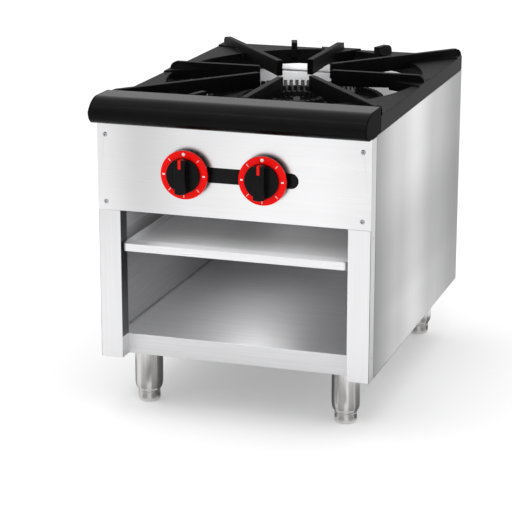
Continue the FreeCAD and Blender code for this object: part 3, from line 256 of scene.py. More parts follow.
mill_steel = brushed_steel("mill_steel", steel_tone(0.58), steel_tone(0.42), stretch=(8, 240, 240),
                           smooth=0.34, dull=0.5, depth=0.00005)
zinc_fastener = brushed_steel("zinc_fastener", steel_tone(0.50), (0.34, 0.34, 0.36, 1),
                              stretch=(300, 300, 300), smooth=0.16, dull=0.28, depth=0.00003)


def dress(material, *nodes):
    """Gives carried-over CAD nodes their finish."""
    for node in nodes:
        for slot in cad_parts[node].material_slots:
            slot.material = material


dress(mill_steel, "front_leg_channel", "rear_leg_channel")
dress(zinc_fastener, "leg_nuts")


# Bottom shelf: one stainless sheet folded down at the front, the floor of the storage bay.
# It is spot welded between the side panels, and its front lip hides the leg channel.

sheet_fold = 0.0012
fold_steps = 3
fold_share = 0.4
flat_turn = radians(0.5)
sharp_turn = radians(25)
quad_skew = radians(60)
weld_reach = 0.000003
least_outline = 0.000001
broad_face = 0.0022
same_side = 0.5


def flat_breadths(form):
    """For each face, how broad its flat stretch is: twice the stretch's area over its outline."""
    breadth_of = {}
    for start in form.faces:
        if start in breadth_of:
            continue
        stretch = [start]
        breadth_of[start] = 0.0
        area = 0.0
        outline = 0.0
        for face in stretch:
            area += face.calc_area()
            for edge in face.edges:
                for other in edge.link_faces:
                    if other is face:
                        continue
                    if edge.calc_face_angle(0.0) > flat_turn:
                        outline += edge.calc_length()
                    elif other not in breadth_of:
                        breadth_of[other] = 0.0
                        stretch.append(other)
        for face in stretch:
            breadth_of[face] = 2 * area / max(outline, least_outline)
    return breadth_of


def levelled(mesh):
    """Shades broad flat faces level, and lets the narrow rounded strips run smoothly between them."""
    form = bmesh.new()
    form.from_mesh(mesh)
    breadth_of = flat_breadths(form)
    normals = []
    for face in form.faces:
        for loop in face.loops:
            near = [face]
            if breadth_of[face] < broad_face:
                alike = [other for other in loop.vert.link_faces
                         if other.normal.dot(face.normal) > same_side]
                near = [other for other in alike if breadth_of[other] >= broad_face] or alike
            normals.append(sum((other.normal for other in near), Vector()).normalized())
    form.free()
    mesh.normals_split_custom_set(normals)


def eased(node, name, fold, material, body, flat=True):
    """A piece in place of a CAD node: the same form with its outer folds and edges rounded over.

    Flat pieces keep level faces between the folds, the others are shaded round.
    """
    form = bmesh.new()
    form.from_mesh(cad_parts[node].data)
    bmesh.ops.remove_doubles(form, verts=form.verts, dist=weld_reach)
    bmesh.ops.join_triangles(form, faces=form.faces, angle_face_threshold=flat_turn,
                             angle_shape_threshold=quad_skew)
    breadth_of = flat_breadths(form)
    width = form.edges.layers.float.new("bevel_weight_edge")
    for edge in form.edges:
        if len(edge.link_faces) == 2 and edge.is_convex and edge.calc_face_angle() > sharp_turn:
            breadth = min(breadth_of[face] for face in edge.link_faces)
            edge[width] = min(1.0, fold_share * breadth / fold)
    mesh = bpy.data.meshes.new(name)
    form.to_mesh(mesh)
    form.free()
    mesh.materials.clear()
    mesh.materials.append(material)
    rough = set_down(f"{name}_blank", mesh)
    bevel = rough.modifiers.new("rounded_edges", "BEVEL")
    bevel.limit_method = "WEIGHT"
    bevel.width = fold
    bevel.segments = fold_steps
    bevel.use_clamp_overlap = False
    bevel.miter_outer = "MITER_ARC"
    mesh.shade_smooth()
    if not flat:
        even = rough.modifiers.new("even_shading", "WEIGHTED_NORMAL")
        even.keep_sharp = True
    seen = rough.evaluated_get(bpy.context.evaluated_depsgraph_get())
    plain = bpy.data.meshes.new_from_object(seen)
    bpy.data.objects.remove(rough)
    plain.name = name
    if flat:
        levelled(plain)
    piece = set_down(name, plain)
    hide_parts(node)
    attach(piece, body)
    return piece


shelf_sheet = brushed_steel("shelf_sheet", steel_tone(0.74), steel_tone(0.67), stretch=(6, 260, 260),
                            smooth=0.32, dull=0.42, depth=0.00003, metal=0.6)
eased("bottom_shelf", "shelf_pan", sheet_fold, shelf_sheet, "cabinet")


# Inner walls: liners of the bay and of the burner space, heat shield, tray runners and burner rests.
# Plain stainless sheet, brushed front to back and screwed together inside, with painted shade that
# darkens it below the tray.
# The bay's side walls stop just short of its floor, which leaves a fine joint line.

liner_sheet = brushed_steel("liner_sheet", steel_tone(0.72), steel_tone(0.64), stretch=(240, 7, 240),
                            smooth=0.34, dull=0.45, depth=0.00003, metal=0.6)
liner_fold = 0.0004
liner_lift = 0.0018


def grey(level):
    """A plain grey."""
    return (level, level, level, 1)


def axes_of(tree, measure):
    """The X, Y and Z of each point's place (Object) or of the way that it faces (Normal)."""
    where = tree.nodes.new("ShaderNodeTexCoord")
    return wired(tree, "ShaderNodeSeparateXYZ", {}, {0: where.outputs[measure]}).outputs


def coloured_over(material, blend, factor, colour):
    """Lays a colour over a finish's own by a factor, mixed in or multiplied."""
    tree = material.node_tree
    own = tree.nodes["Principled BSDF"].inputs["Base Color"]
    mixed = wired(tree, "ShaderNodeMix", {"data_type": "RGBA", "blend_type": blend},
                  {"Factor": factor, "A": own.links[0].from_socket, "B": colour})
    tree.links.new(mixed.outputs["Result"], own)


def painted_shade_along(material, axis, stops):
    """Takes a finish's tone down by soft shares along one axis: painted shade and painted reflection
    bands.
    """
    tree = material.node_tree
    first = stops[0][0]
    last = stops[-1][0]
    span = wired(tree, "ShaderNodeMapRange", {},
                 {"Value": axes_of(tree, "Object")[axis], "From Min": first, "From Max": last})
    ramp = wired(tree, "ShaderNodeValToRGB", {}, {"Fac": span.outputs["Result"]})
    ramp.color_ramp.interpolation = "EASE"
    while len(ramp.color_ramp.elements) < len(stops):
        ramp.color_ramp.elements.new(0.5)
    for element, (spot, share) in zip(ramp.color_ramp.elements, stops):
        element.position = (spot - first) / (last - first)
        element.color = grey(share)
    coloured_over(material, "MULTIPLY", 1.0, ramp.outputs["Color"])


# Painted shade: the liner sheet is darker below the tray than in the burner space above.
painted_shade_along(liner_sheet, "Z", ((0.13, 0.62), (0.27, 0.66), (0.30, 1.0)))
for hand in ("left", "right"):
    bay_wall = eased(f"{hand}_liner", f"{hand}_bay_wall", liner_fold, liner_sheet,
                     "cabinet")
    wall_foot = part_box(f"{hand}_liner")[0].z
    for corner in bay_wall.data.vertices:
        if corner.co.z < wall_foot + liner_lift:
            corner.co.z += liner_lift
dress(liner_sheet, "rear_liner", "left_tray_runner", "right_tray_runner", "rear_burner_rest")
dress(mill_steel, "front_heat_shield", "front_burner_rest")


# Side panels: the outer skins, each one sheet folded round the top, the bottom and the back.
# Brushed upright before folding, so the grain runs up and down the whole side.

upright_sheet = brushed_steel("upright_sheet", steel_tone(0.75), steel_tone(0.72), stretch=(260, 260, 5),
                              smooth=0.3, dull=0.36, depth=0.000002)
# Painted reflection: the side sheet is darker towards its front and rear edges and round mid-height.
painted_shade_along(upright_sheet, "Y", ((-0.29, 0.34), (-0.13, 0.78), (-0.005, 1.0), (0.12, 0.64), (0.338, 0.31)))
painted_shade_along(upright_sheet, "Z", ((0.097, 0.96), (0.16, 0.84), (0.22, 0.68),
                            (0.29, 0.65), (0.42, 0.92), (0.497, 0.98)))
for hand in ("left", "right"):
    eased(f"{hand}_side_panel", f"{hand}_outer_skin", sheet_fold, upright_sheet,
          "cabinet")


# Front posts: folded stainless channels at both sides of the bay, open to the back.
# Each laps the side panel, and two small flush rivets through the lap hold the seam closed.

post_sheet = brushed_steel("post_sheet", steel_tone(0.77), steel_tone(0.74), stretch=(260, 260, 6),
                           smooth=0.26, dull=0.34, depth=0.00001)
# Near-black for painted shade on the posts' cheeks and painted reflection on their outer strips and
# folds.
painted_shade_black = grey(0.02)
cheek_foot = 0.131
cheek_turn = -0.8
cheek_shade_share = 0.9
strip_turn = 0.9
strip_shade_share = 0.35
fold_turn = 0.6
fold_spread = 0.3
fold_shade_share = 0.9
seam_draw = 0.0012
seam_reach = 0.2


def shade_post(material):
    """Paints shade on the cheeks that face the bay above its floor, and a painted dark reflection on the
    outer strips and their fold.
    """
    tree = material.node_tree
    place = axes_of(tree, "Object")
    facing = axes_of(tree, "Normal")
    outward = reckoned(tree, "MULTIPLY", reckoned(tree, "SIGN", place["X"]), facing["X"])
    cheek = reckoned(tree, "LESS_THAN", outward, cheek_turn)
    above = reckoned(tree, "GREATER_THAN", place["Z"], cheek_foot)
    cheek_share = reckoned(tree, "MULTIPLY", reckoned(tree, "MULTIPLY", cheek, above), cheek_shade_share)
    coloured_over(material, "MIX", cheek_share, painted_shade_black)
    strip = reckoned(tree, "GREATER_THAN", outward, strip_turn)
    strip_share = reckoned(tree, "MULTIPLY", strip, strip_shade_share)
    fold = reckoned(tree, "COMPARE", outward, fold_turn, fold_spread)
    outer_share = reckoned(tree, "MULTIPLY_ADD", fold, fold_shade_share, strip_share)
    coloured_over(material, "MIX", outer_share, painted_shade_black)


shade_post(post_sheet)
for hand in ("left", "right"):
    post = eased(f"{hand}_front_post", f"{hand}_corner_post", sheet_fold, post_sheet,
                 "cabinet")
    post_low, post_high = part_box(f"{hand}_front_post")
    for corner in post.data.vertices:
        outer = max(corner.co.x - post_high.x, post_low.x - corner.co.x) > -2 * sheet_fold
        if corner.co.y > post_high.y - sheet_fold and outer and abs(corner.co.x) > seam_reach:
            corner.co.y -= seam_draw


# Post rivets: flush blind rivets, two in each post strip, set through the strip and the lap behind it.
# Only the low crowns of their ends show in the strip.

rivet_radius = 0.0024
rivet_rise = 0.0004
rivet_shank_radius = rivet_radius * 0.8
rivet_shank = 0.003
head_crease = radians(35)


def fastener_tree():
    """Nodes that set a round head on a shank at each point, facing out, with a cross cut in the head."""
    tree = bpy.data.node_groups.new("round_head_fasteners", "GeometryNodeTree")
    tree.interface.new_socket("Places", in_out="INPUT", socket_type="NodeSocketGeometry")
    for name in ("Head Radius", "Head Height", "Shank Radius", "Shank Length",
                 "Cross Width", "Cross Depth"):
        tree.interface.new_socket(name, in_out="INPUT", socket_type="NodeSocketFloat")
    tree.interface.new_socket("Finish", in_out="INPUT", socket_type="NodeSocketMaterial")
    tree.interface.new_socket("Fasteners", in_out="OUTPUT", socket_type="NodeSocketGeometry")
    inlet = tree.nodes.new("NodeGroupInput").outputs
    outlet = tree.nodes.new("NodeGroupOutput").inputs
    ball = wired(tree, "GeometryNodeMeshUVSphere", {}, {"Segments": 24, "Rings": 12, "Radius": 1.0})
    swell = wired(tree, "ShaderNodeCombineXYZ", {},
                  {"X": inlet["Head Radius"], "Y": inlet["Head Radius"], "Z": inlet["Head Height"]})
    dome = wired(tree, "GeometryNodeTransform", {},
                 {"Geometry": ball.outputs["Mesh"], "Scale": swell.outputs[0]})
    arm_share = 1.1
    blade_lift = 1.5
    blade_clear = 0.00001
    arm = reckoned(tree, "MULTIPLY", inlet["Head Radius"], arm_share)
    above_head = reckoned(tree, "MULTIPLY_ADD", inlet["Head Height"], blade_lift, blade_clear)
    cut_height = reckoned(tree, "SUBTRACT", above_head, inlet["Cross Depth"])
    cut_lift = wired(tree, "ShaderNodeCombineXYZ", {}, {"Z": cut_height})
    blades = []
    for along, across in (("X", "Y"), ("Y", "X")):
        blade_size = wired(tree, "ShaderNodeCombineXYZ", {},
                           {along: arm, across: inlet["Cross Width"], "Z": inlet["Head Height"]})
        blade = wired(tree, "GeometryNodeMeshCube", {}, {"Size": blade_size.outputs[0]})
        blades.append(wired(tree, "GeometryNodeTransform", {},
                            {"Geometry": blade.outputs["Mesh"], "Translation": cut_lift.outputs[0]}))
    head = wired(tree, "GeometryNodeMeshBoolean", {"operation": "DIFFERENCE"},
                 {"Mesh 1": dome.outputs[0]})
    for blade in blades:
        tree.links.new(blade.outputs[0], head.inputs["Mesh 2"])
    rod = wired(tree, "GeometryNodeMeshCylinder", {},
                {"Vertices": 20, "Radius": inlet["Shank Radius"], "Depth": inlet["Shank Length"]})
    sunk = reckoned(tree, "MULTIPLY", inlet["Shank Length"], -0.5)
    rod_drop = wired(tree, "ShaderNodeCombineXYZ", {}, {"Z": sunk})
    shank = wired(tree, "GeometryNodeTransform", {},
                  {"Geometry": rod.outputs["Mesh"], "Translation": rod_drop.outputs[0]})
    one = tree.nodes.new("GeometryNodeJoinGeometry")
    tree.links.new(head.outputs["Mesh"], one.inputs[0])
    tree.links.new(shank.outputs[0], one.inputs[0])
    facing = wired(tree, "GeometryNodeInputNamedAttribute", {"data_type": "FLOAT_VECTOR"},
                   {"Name": "facing"})
    turn = wired(tree, "FunctionNodeAlignRotationToVector", {"axis": "Z"},
                 {"Vector": facing.outputs["Attribute"]})
    set_out = wired(tree, "GeometryNodeInstanceOnPoints", {},
                    {"Points": inlet["Places"], "Instance": one.outputs[0], "Rotation": turn.outputs[0]})
    real = wired(tree, "GeometryNodeRealizeInstances", {}, {"Geometry": set_out.outputs[0]})
    finish = wired(tree, "GeometryNodeSetMaterial", {},
                   {"Geometry": real.outputs[0], "Material": inlet["Finish"]})
    tree.links.new(finish.outputs[0], outlet["Fasteners"])
    return tree


def grown(name, places, facings, tree, settings):
    """Runs a tree of nodes on a set of points and keeps what it makes as a plain mesh."""
    points = bpy.data.meshes.new(f"{name}_places")
    points.from_pydata(places, [], [])
    if facings:
        facing = points.attributes.new("facing", "FLOAT_VECTOR", "POINT")
        for index, direction in enumerate(facings):
            facing.data[index].vector = direction
    piece = set_down(name, points)
    growth = piece.modifiers.new("set_in_place", "NODES")
    growth.node_group = tree
    for item in tree.interface.items_tree:
        if item.in_out == "INPUT" and item.name in settings:
            growth[item.identifier] = settings[item.name]
    seen = piece.evaluated_get(bpy.context.evaluated_depsgraph_get())
    plain = bpy.data.meshes.new_from_object(seen)
    piece.modifiers.remove(growth)
    piece.data = plain
    plain.name = name
    plain.shade_smooth()
    plain.set_sharp_from_angle(angle=head_crease)
    return piece


round_heads = fastener_tree()
rivet_low, rivet_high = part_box("post_rivets")
rivet_line = (rivet_low.y + rivet_high.y) / 2
rivet_places = []
rivet_facings = []
for reach, outward in ((rivet_low.x + rivet_rise, -1), (rivet_high.x - rivet_rise, 1)):
    for height in (rivet_low.z + rivet_radius, rivet_high.z - rivet_radius):
        rivet_places.append((reach, rivet_line, height))
        rivet_facings.append((outward, 0, 0))
rivets = grown("post_strip_rivets", rivet_places, rivet_facings, round_heads, {
    "Head Radius": rivet_radius, "Head Height": rivet_rise, "Shank Radius": rivet_shank_radius,
    "Shank Length": rivet_shank, "Cross Width": 0.0001, "Cross Depth": 0.0, "Finish": zinc_fastener,
})
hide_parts("post_rivets")
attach(rivets, "cabinet")


# Back: a flat sheet let in between the side panels, the rail that ties them at the top, and its screws.
# Brushed sideways and left plain, because this side stands against the wall.

back_sheet = brushed_steel("back_sheet", steel_tone(0.66), steel_tone(0.61), stretch=(6, 240, 240),
                           smooth=0.32, dull=0.42, depth=0.000006)
eased("back_panel", "back_closing_sheet", sheet_fold, back_sheet, "cabinet")
eased("rear_top_rail", "back_tie_rail", sheet_fold, back_sheet, "cabinet")
screw_head = 0.004
screw_rise = 0.002
screw_shank = 0.002
screw_cross = 0.0009
screw_bite = 0.0011


def round_screws(name, places, facing, length):
    """Round-head screws with a cross cut at a set of places, all facing one way."""
    return grown(name, places, [facing] * len(places), round_heads, {
        "Head Radius": screw_head, "Head Height": screw_rise, "Shank Radius": screw_shank,
        "Shank Length": length, "Cross Width": screw_cross, "Cross Depth": screw_bite,
        "Finish": zinc_fastener,
    })


back_low, back_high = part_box("back_panel_screws")
back_face = back_high.y - screw_rise
back_places = []
for across in (back_low.x + screw_head, 0.0, back_high.x - screw_head):
    for height in (back_low.z + screw_head, back_high.z - screw_head):
        back_places.append((across, back_face, height))
back_screws = round_screws("back_round_screws", back_places, (0, 1, 0), back_face - back_low.y)
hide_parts("back_panel_screws")
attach(back_screws, "cabinet")


# Drip tray: a shallow pan of polished stainless with a flat hollow rim in front, which is its handle.
# It slides on the two runners, and the rim's corners are bent round and ground smooth.

tray_sheet = brushed_steel("tray_sheet", steel_tone(0.84), steel_tone(0.78), stretch=(6, 260, 260),
                           smooth=0.26, dull=0.36, depth=0.00002, metal=0.6)
tray_fold = 0.001
# Painted shade: the pan behind the rim is darker, and darker still towards the back.
painted_shade_along(tray_sheet, "Y", ((-0.2975, 1.0), (-0.2705, 1.0), (-0.2695, 0.9), (-0.1, 0.72), (0.29, 0.5)))
eased("drip_tray", "pull_out_tray", tray_fold, tray_sheet, "tray")


# Burners: two grey iron castings, blackened by the first heat, with teeth round their flame rings.
# They hang on the two burner rests, and their mixing tubes reach forward to the gas valves.

def cast_skin_group():
    """Cloudy patches and a fine grit, for castings and moulded or painted pieces."""
    tree = bpy.data.node_groups.new("cast_skin", "ShaderNodeTree")
    tree.interface.new_socket("Place", in_out="INPUT", socket_type="NodeSocketVector")
    tree.interface.new_socket("Grain", in_out="INPUT", socket_type="NodeSocketFloat")
    for name in ("Cloud", "Grit"):
        tree.interface.new_socket(name, in_out="OUTPUT", socket_type="NodeSocketFloat")
    inlet = tree.nodes.new("NodeGroupInput").outputs
    outlet = tree.nodes.new("NodeGroupOutput").inputs
    cloud_share = 0.04
    coarse = reckoned(tree, "MULTIPLY", inlet["Grain"], cloud_share)
    cloud = wired(tree, "ShaderNodeTexNoise", {},
                  {"Vector": inlet["Place"], "Scale": coarse, "Detail": 4.0, "Roughness": 0.55})
    grit = wired(tree, "ShaderNodeTexNoise", {},
                 {"Vector": inlet["Place"], "Scale": inlet["Grain"], "Detail": 3.0, "Roughness": 0.6})
    tree.links.new(cloud.outputs[0], outlet["Cloud"])
    tree.links.new(grit.outputs[0], outlet["Grit"])
    return tree


cast_skin = cast_skin_group()


def skinned(name, pale, dark, grain, smooth, dull, depth, metal=0.0, shine=0.5):
    """Cast, moulded or painted surface: cloudy tone and gloss, with a fine grit in relief."""
    material = bpy.data.materials.new(name)
    material.use_nodes = True
    tree = material.node_tree
    shader = tree.nodes["Principled BSDF"].inputs
    where = tree.nodes.new("ShaderNodeTexCoord")
    skin = wired(tree, "ShaderNodeGroup", {"node_tree": cast_skin},
                 {"Place": where.outputs["Object"], "Grain": grain}).outputs
    tone = wired(tree, "ShaderNodeValToRGB", {}, {"Fac": skin["Cloud"]})
    darkest, palest = tone.color_ramp.elements
    darkest.position = 0.35
    darkest.color = dark
    palest.position = 0.65
    palest.color = pale
    tree.links.new(tone.outputs["Color"], shader["Base Color"])
    gloss = wired(tree, "ShaderNodeMapRange", {},
                  {"Value": skin["Grit"], "From Min": 0.3, "From Max": 0.7,
                   "To Min": smooth, "To Max": dull})
    tree.links.new(gloss.outputs["Result"], shader["Roughness"])
    relief = wired(tree, "ShaderNodeBump", {},
                   {"Strength": 0.5, "Distance": depth, "Height": skin["Grit"]})
    tree.links.new(relief.outputs["Normal"], shader["Normal"])
    shader["Metallic"].default_value = metal
    shader["Specular IOR Level"].default_value = shine
    return material


burner_iron = skinned("burner_iron", grey(0.010), grey(0.005), grain=900,
                      smooth=0.5, dull=0.7, depth=0.0003, shine=0.12)
dress(burner_iron, "outer_burner", "inner_burner", "pilot_burner")


# Gas train: black iron manifold and supply pipe, brass valves and orifices, an aluminium pilot tube.
# Threads are sealed and screwed up tight, the air shutters are pressed caps on the mixing tubes.

pipe_black = skinned("pipe_black", (0.035, 0.034, 0.034, 1), grey(0.02), grain=600,
                     smooth=0.38, dull=0.55, depth=0.0001)
valve_brass = skinned("valve_brass", (0.78, 0.56, 0.27, 1), (0.62, 0.42, 0.18, 1), grain=700,
                      smooth=0.26, dull=0.42, depth=0.00008, metal=1)
soft_aluminium = skinned("soft_aluminium", (0.80, 0.80, 0.81, 1), (0.66, 0.66, 0.68, 1), grain=800,
                         smooth=0.3, dull=0.45, depth=0.00005, metal=1)
dress(pipe_black, "gas_manifold", "supply_elbow", "supply_pipe")
dress(valve_brass, "left_gas_valve", "right_gas_valve", "valve_bonnets", "gas_orifices",
      "left_valve_stem", "right_valve_stem", "pilot_valve", "inlet_nipple")
dress(soft_aluminium, "pilot_tube")
dress(mill_steel, "manifold_saddles", "pilot_bracket", "left_air_shutter", "right_air_shutter")


# Control panel: the front sheet, brushed sideways, with a long slot and flanges at head and foot.
# Four round-head cross-slot screws in its corners hold it to the side panels and posts.

front_sheet = brushed_steel("front_sheet", steel_tone(0.86), steel_tone(0.83), stretch=(5, 260, 260),
                            smooth=0.26, dull=0.34, depth=0.000004)
# Painted reflection: the panel is darker left of the middle and a little at the right end.
painted_shade_along(front_sheet, "X", ((-0.2315, 1.0), (-0.155, 0.78), (-0.06, 0.93),
                          (0.06, 1.0), (0.14, 1.0), (0.2315, 0.90)))
eased("control_panel", "knob_panel", sheet_fold, front_sheet, "cabinet")
panel_low, panel_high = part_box("control_panel_screws")
panel_face = panel_low.y + screw_rise
panel_places = []
for across in (panel_low.x + screw_head, panel_high.x - screw_head):
    for height in (panel_low.z + screw_head, panel_high.z - screw_head):
        panel_places.append((across, panel_face, height))
panel_screws = round_screws("knob_panel_screws", panel_places, (0, -1, 0), panel_high.y - panel_face)
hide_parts("control_panel_screws")
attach(panel_screws, "cabinet")


# Slot plate: a black painted steel plate behind the long slot, bare of any mark.
# It is held from inside by the valve bonnets and closes the slot round the stems.

slot_black = skinned("slot_black", (0.006, 0.006, 0.007, 1), grey(0.003), grain=500,
                     smooth=0.2, dull=0.3, depth=0.00003, shine=0.12)
dress(slot_black, "slot_backplate")


# Dial rings: red moulded rings that stand off the panel on a hub, with plain white marks printed on.
# A dot at the top shows off, blocks and ticks show how far the gas is open. Their backs are black.

dial_red = skinned("dial_red", (0.98, 0.004, 0.002, 1), (0.94, 0.003, 0.002, 1), grain=700,
                   smooth=0.22, dull=0.3, depth=0.00002, shine=0.1)
print_white = skinned("print_white", (0.92, 0.91, 0.90, 1), (0.86, 0.85, 0.84, 1), grain=900,
                      smooth=0.4, dull=0.5, depth=0.00002)
dial_edge = 0.0008
dial_back = grey(0.006)
back_turn = 0.3


def darken_back(material):
    """Leaves the faces that look back at the panel unpainted, in the black of the plastic."""
    tree = material.node_tree
    back = reckoned(tree, "GREATER_THAN", axes_of(tree, "Normal")["Y"], back_turn)
    coloured_over(material, "MIX", back, dial_back)


darken_back(dial_red)
eased("dial_rings", "red_dials", dial_edge, dial_red, "cabinet", flat=False)


def dial_print_tree():
    """Nodes that print marks round each dial: a dot at the top, a block at each side, ticks between."""
    tree = bpy.data.node_groups.new("dial_print", "GeometryNodeTree")
    tree.interface.new_socket("Dials", in_out="INPUT", socket_type="NodeSocketGeometry")
    for name in ("Ring Radius", "Tick Length", "Tick Width", "Block Width", "Dot Radius", "Ink Height"):
        tree.interface.new_socket(name, in_out="INPUT", socket_type="NodeSocketFloat")
    tree.interface.new_socket("Ink", in_out="INPUT", socket_type="NodeSocketMaterial")
    tree.interface.new_socket("Print", in_out="OUTPUT", socket_type="NodeSocketGeometry")
    inlet = tree.nodes.new("NodeGroupInput").outputs
    outlet = tree.nodes.new("NodeGroupOutput").inputs
    marks = 8
    top_mark = 2
    near_enough = 0.1
    block_share = 0.75
    ring = wired(tree, "GeometryNodeMeshCircle", {}, {"Vertices": marks, "Radius": inlet["Ring Radius"]})
    outward = tree.nodes.new("GeometryNodeInputPosition")
    turn = wired(tree, "FunctionNodeAlignRotationToVector", {"axis": "X"}, {"Vector": outward.outputs[0]})
    order = tree.nodes.new("GeometryNodeInputIndex").outputs[0]
    is_top = reckoned(tree, "COMPARE", order, top_mark, near_enough)
    quarter = reckoned(tree, "MODULO", order, marks / 2)
    is_side = reckoned(tree, "COMPARE", quarter, 0.0, near_enough)
    is_tick = reckoned(tree, "SUBTRACT", 1.0, reckoned(tree, "MAXIMUM", is_top, is_side))
    dot = wired(tree, "GeometryNodeMeshCylinder", {},
                {"Vertices": 28, "Radius": inlet["Dot Radius"], "Depth": inlet["Ink Height"]})
    block_length = reckoned(tree, "MULTIPLY", inlet["Tick Length"], block_share)
    block_size = wired(tree, "ShaderNodeCombineXYZ", {},
                       {"X": block_length, "Y": inlet["Block Width"], "Z": inlet["Ink Height"]})
    block = wired(tree, "GeometryNodeMeshCube", {}, {"Size": block_size.outputs[0]})
    tick_size = wired(tree, "ShaderNodeCombineXYZ", {},
                      {"X": inlet["Tick Length"], "Y": inlet["Tick Width"], "Z": inlet["Ink Height"]})
    tick = wired(tree, "GeometryNodeMeshCube", {}, {"Size": tick_size.outputs[0]})
    face = tree.nodes.new("GeometryNodeJoinGeometry")
    for chosen, shape in ((is_top, dot), (is_side, block), (is_tick, tick)):
        laid = wired(tree, "GeometryNodeInstanceOnPoints", {},
                     {"Points": ring.outputs[0], "Selection": chosen,
                      "Instance": shape.outputs["Mesh"], "Rotation": turn.outputs[0]})
        tree.links.new(laid.outputs[0], face.inputs[0])
    upright = wired(tree, "GeometryNodeTransform", {},
                    {"Geometry": face.outputs[0], "Rotation": (pi / 2, 0, 0)})
    placed = wired(tree, "GeometryNodeInstanceOnPoints", {},
                   {"Points": inlet["Dials"], "Instance": upright.outputs[0]})
    real = wired(tree, "GeometryNodeRealizeInstances", {}, {"Geometry": placed.outputs[0]})
    inked = wired(tree, "GeometryNodeSetMaterial", {},
                  {"Geometry": real.outputs[0], "Material": inlet["Ink"]})
    tree.links.new(inked.outputs[0], outlet["Print"])
    return tree


dial_low, dial_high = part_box("dial_rings")
dial_radius = (dial_high.z - dial_low.z) / 2
dial_height = (dial_high.z + dial_low.z) / 2
dial_places = [(across, dial_low.y, dial_height)
               for across in (dial_low.x + dial_radius, dial_high.x - dial_radius)]
dial_print = grown("dial_marks", dial_places, [], dial_print_tree(), {
    "Ring Radius": 0.0342, "Tick Length": 0.0055, "Tick Width": 0.0009, "Block Width": 0.0024,
    "Dot Radius": 0.0028, "Ink Height": 0.0003, "Ink": print_white,
})
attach(dial_print, "cabinet")


# Knobs: black moulded knobs, a disc with an upright grip bar, pushed on the valve stems.
# A red pointer is let into the bar's face at the top and runs over its upper end.

knob_black = skinned("knob_black", (0.005, 0.005, 0.006, 1), grey(0.003), grain=1200,
                     smooth=0.24, dull=0.34, depth=0.00004, shine=0.1)
pointer_red = skinned("pointer_red", (0.95, 0.008, 0.005, 1), (0.90, 0.006, 0.004, 1), grain=900,
                      smooth=0.3, dull=0.4, depth=0.00002, shine=0.1)
grip_width = 0.0195
grip_taper = 0.93
grip_edge = 0.0016
grip_root = 0.001
arc_steps = 14
disc_depth = 0.0055
disc_round = 0.0014
disc_rim = 0.0006
disc_dish = ((0.9, 0.0001), (0.5, 0.0005))
edge_steps = 5
pointer_half = 0.0023
pointer_length = 0.0145
pointer_rise = 0.00015
pointer_skin = 0.0012
pointer_over = 0.010
pointer_edge = 0.0001


def grip_knob(name, low, high):
    """A knob inside a box: a round disc at the back and an upright bar in front with rounded ends."""
    middle = (low.x + high.x) / 2
    height = (low.z + high.z) / 2
    radius = (high.x - low.x) / 2
    form = bmesh.new()
    disc_front = high.y - disc_depth
    disc_profile = [(radius - disc_rim, high.y), (radius, high.y - disc_rim)]
    for step in range(edge_steps + 1):
        turn = (pi / 2) * step / edge_steps
        disc_profile.append((radius - disc_round + disc_round * cos(turn),
                             disc_front + disc_round - disc_round * sin(turn)))
    for share, sink in disc_dish:
        disc_profile.append((radius * share, disc_front + sink))
    rings = []
    for reach, depth in disc_profile:
        ring = []
        for step in range(turning_steps):
            turn = 2 * pi * step / turning_steps
            corner = (middle + reach * cos(turn), depth, height + reach * sin(turn))
            ring.append(form.verts.new(corner))
        rings.append(ring)
    ring_faces(form, rings)
    form.faces.new(rings[0])
    form.faces.new(rings[-1])
    half = grip_width / 2
    lean = asin(half / radius)
    outline = []
    for start in (pi / 2 - lean, 3 * pi / 2 - lean):
        for step in range(arc_steps + 1):
            turn = start + 2 * lean * step / arc_steps
            outline.append((radius * cos(turn), radius * sin(turn)))
    bar_profile = [(1.0, 1.0, disc_front + grip_root), (grip_taper, 1.0, low.y + grip_edge)]
    for step in range(1, edge_steps + 1):
        turn = (pi / 2) * step / edge_steps
        inward = grip_edge * (1 - cos(turn))
        bar_profile.append((grip_taper * (1 - inward / half), 1 - inward / radius,
                            low.y + grip_edge - grip_edge * sin(turn)))
    bar_rings = []
    for narrow, short, depth in bar_profile:
        bar_rings.append([form.verts.new((middle + x * narrow, depth, height + z * short))
                          for x, z in outline])
    ring_faces(form, bar_rings)
    form.faces.new(bar_rings[0])
    form.faces.new(bar_rings[-1])
    return shaped(name, form)


for hand in ("left", "right"):
    knob_low, knob_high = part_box(f"{hand}_knob")
    knob = grip_knob(f"{hand}_grip_knob", knob_low, knob_high)
    knob.data.materials.append(knob_black)
    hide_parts(f"{hand}_knob")
    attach(knob, f"knob_{hand}_body")
    middle = (knob_low.x + knob_high.x) / 2
    face_y = knob_low.y - pointer_rise
    head_z = knob_high.z + pointer_rise
    hook = (
        (face_y, head_z - pointer_length),
        (face_y, head_z - pointer_skin),
        (face_y + pointer_skin, head_z),
        (knob_low.y + pointer_over, head_z),
        (knob_low.y + pointer_over, head_z - pointer_skin),
        (face_y + pointer_skin, head_z - pointer_skin),
        (face_y + pointer_skin, head_z - pointer_length),
    )
    strip = bmesh.new()
    sides = [[strip.verts.new((middle + reach, y, z)) for y, z in hook]
             for reach in (-pointer_half, pointer_half)]
    ring_faces(strip, sides)
    strip.faces.new(sides[0])
    strip.faces.new(sides[1])
    bmesh.ops.recalc_face_normals(strip, faces=strip.faces)
    bmesh.ops.bevel(strip, geom=strip.edges, offset=pointer_edge, segments=2, affect="EDGES")
    pointer_mesh = bpy.data.meshes.new(f"{hand}_red_pointer")
    strip.to_mesh(pointer_mesh)
    strip.free()
    pointer_mesh.materials.append(pointer_red)
    pointer = set_down(f"{hand}_red_pointer", pointer_mesh)
    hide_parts(f"{hand}_knob_pointer")
    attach(pointer, f"knob_{hand}_body")


# Front rail: a black painted bullnose bolted over the panel's head, closed by flat end caps.
# It keeps hands and pots off the hot edge. Its paint is a smooth satin, and the caps are duller.

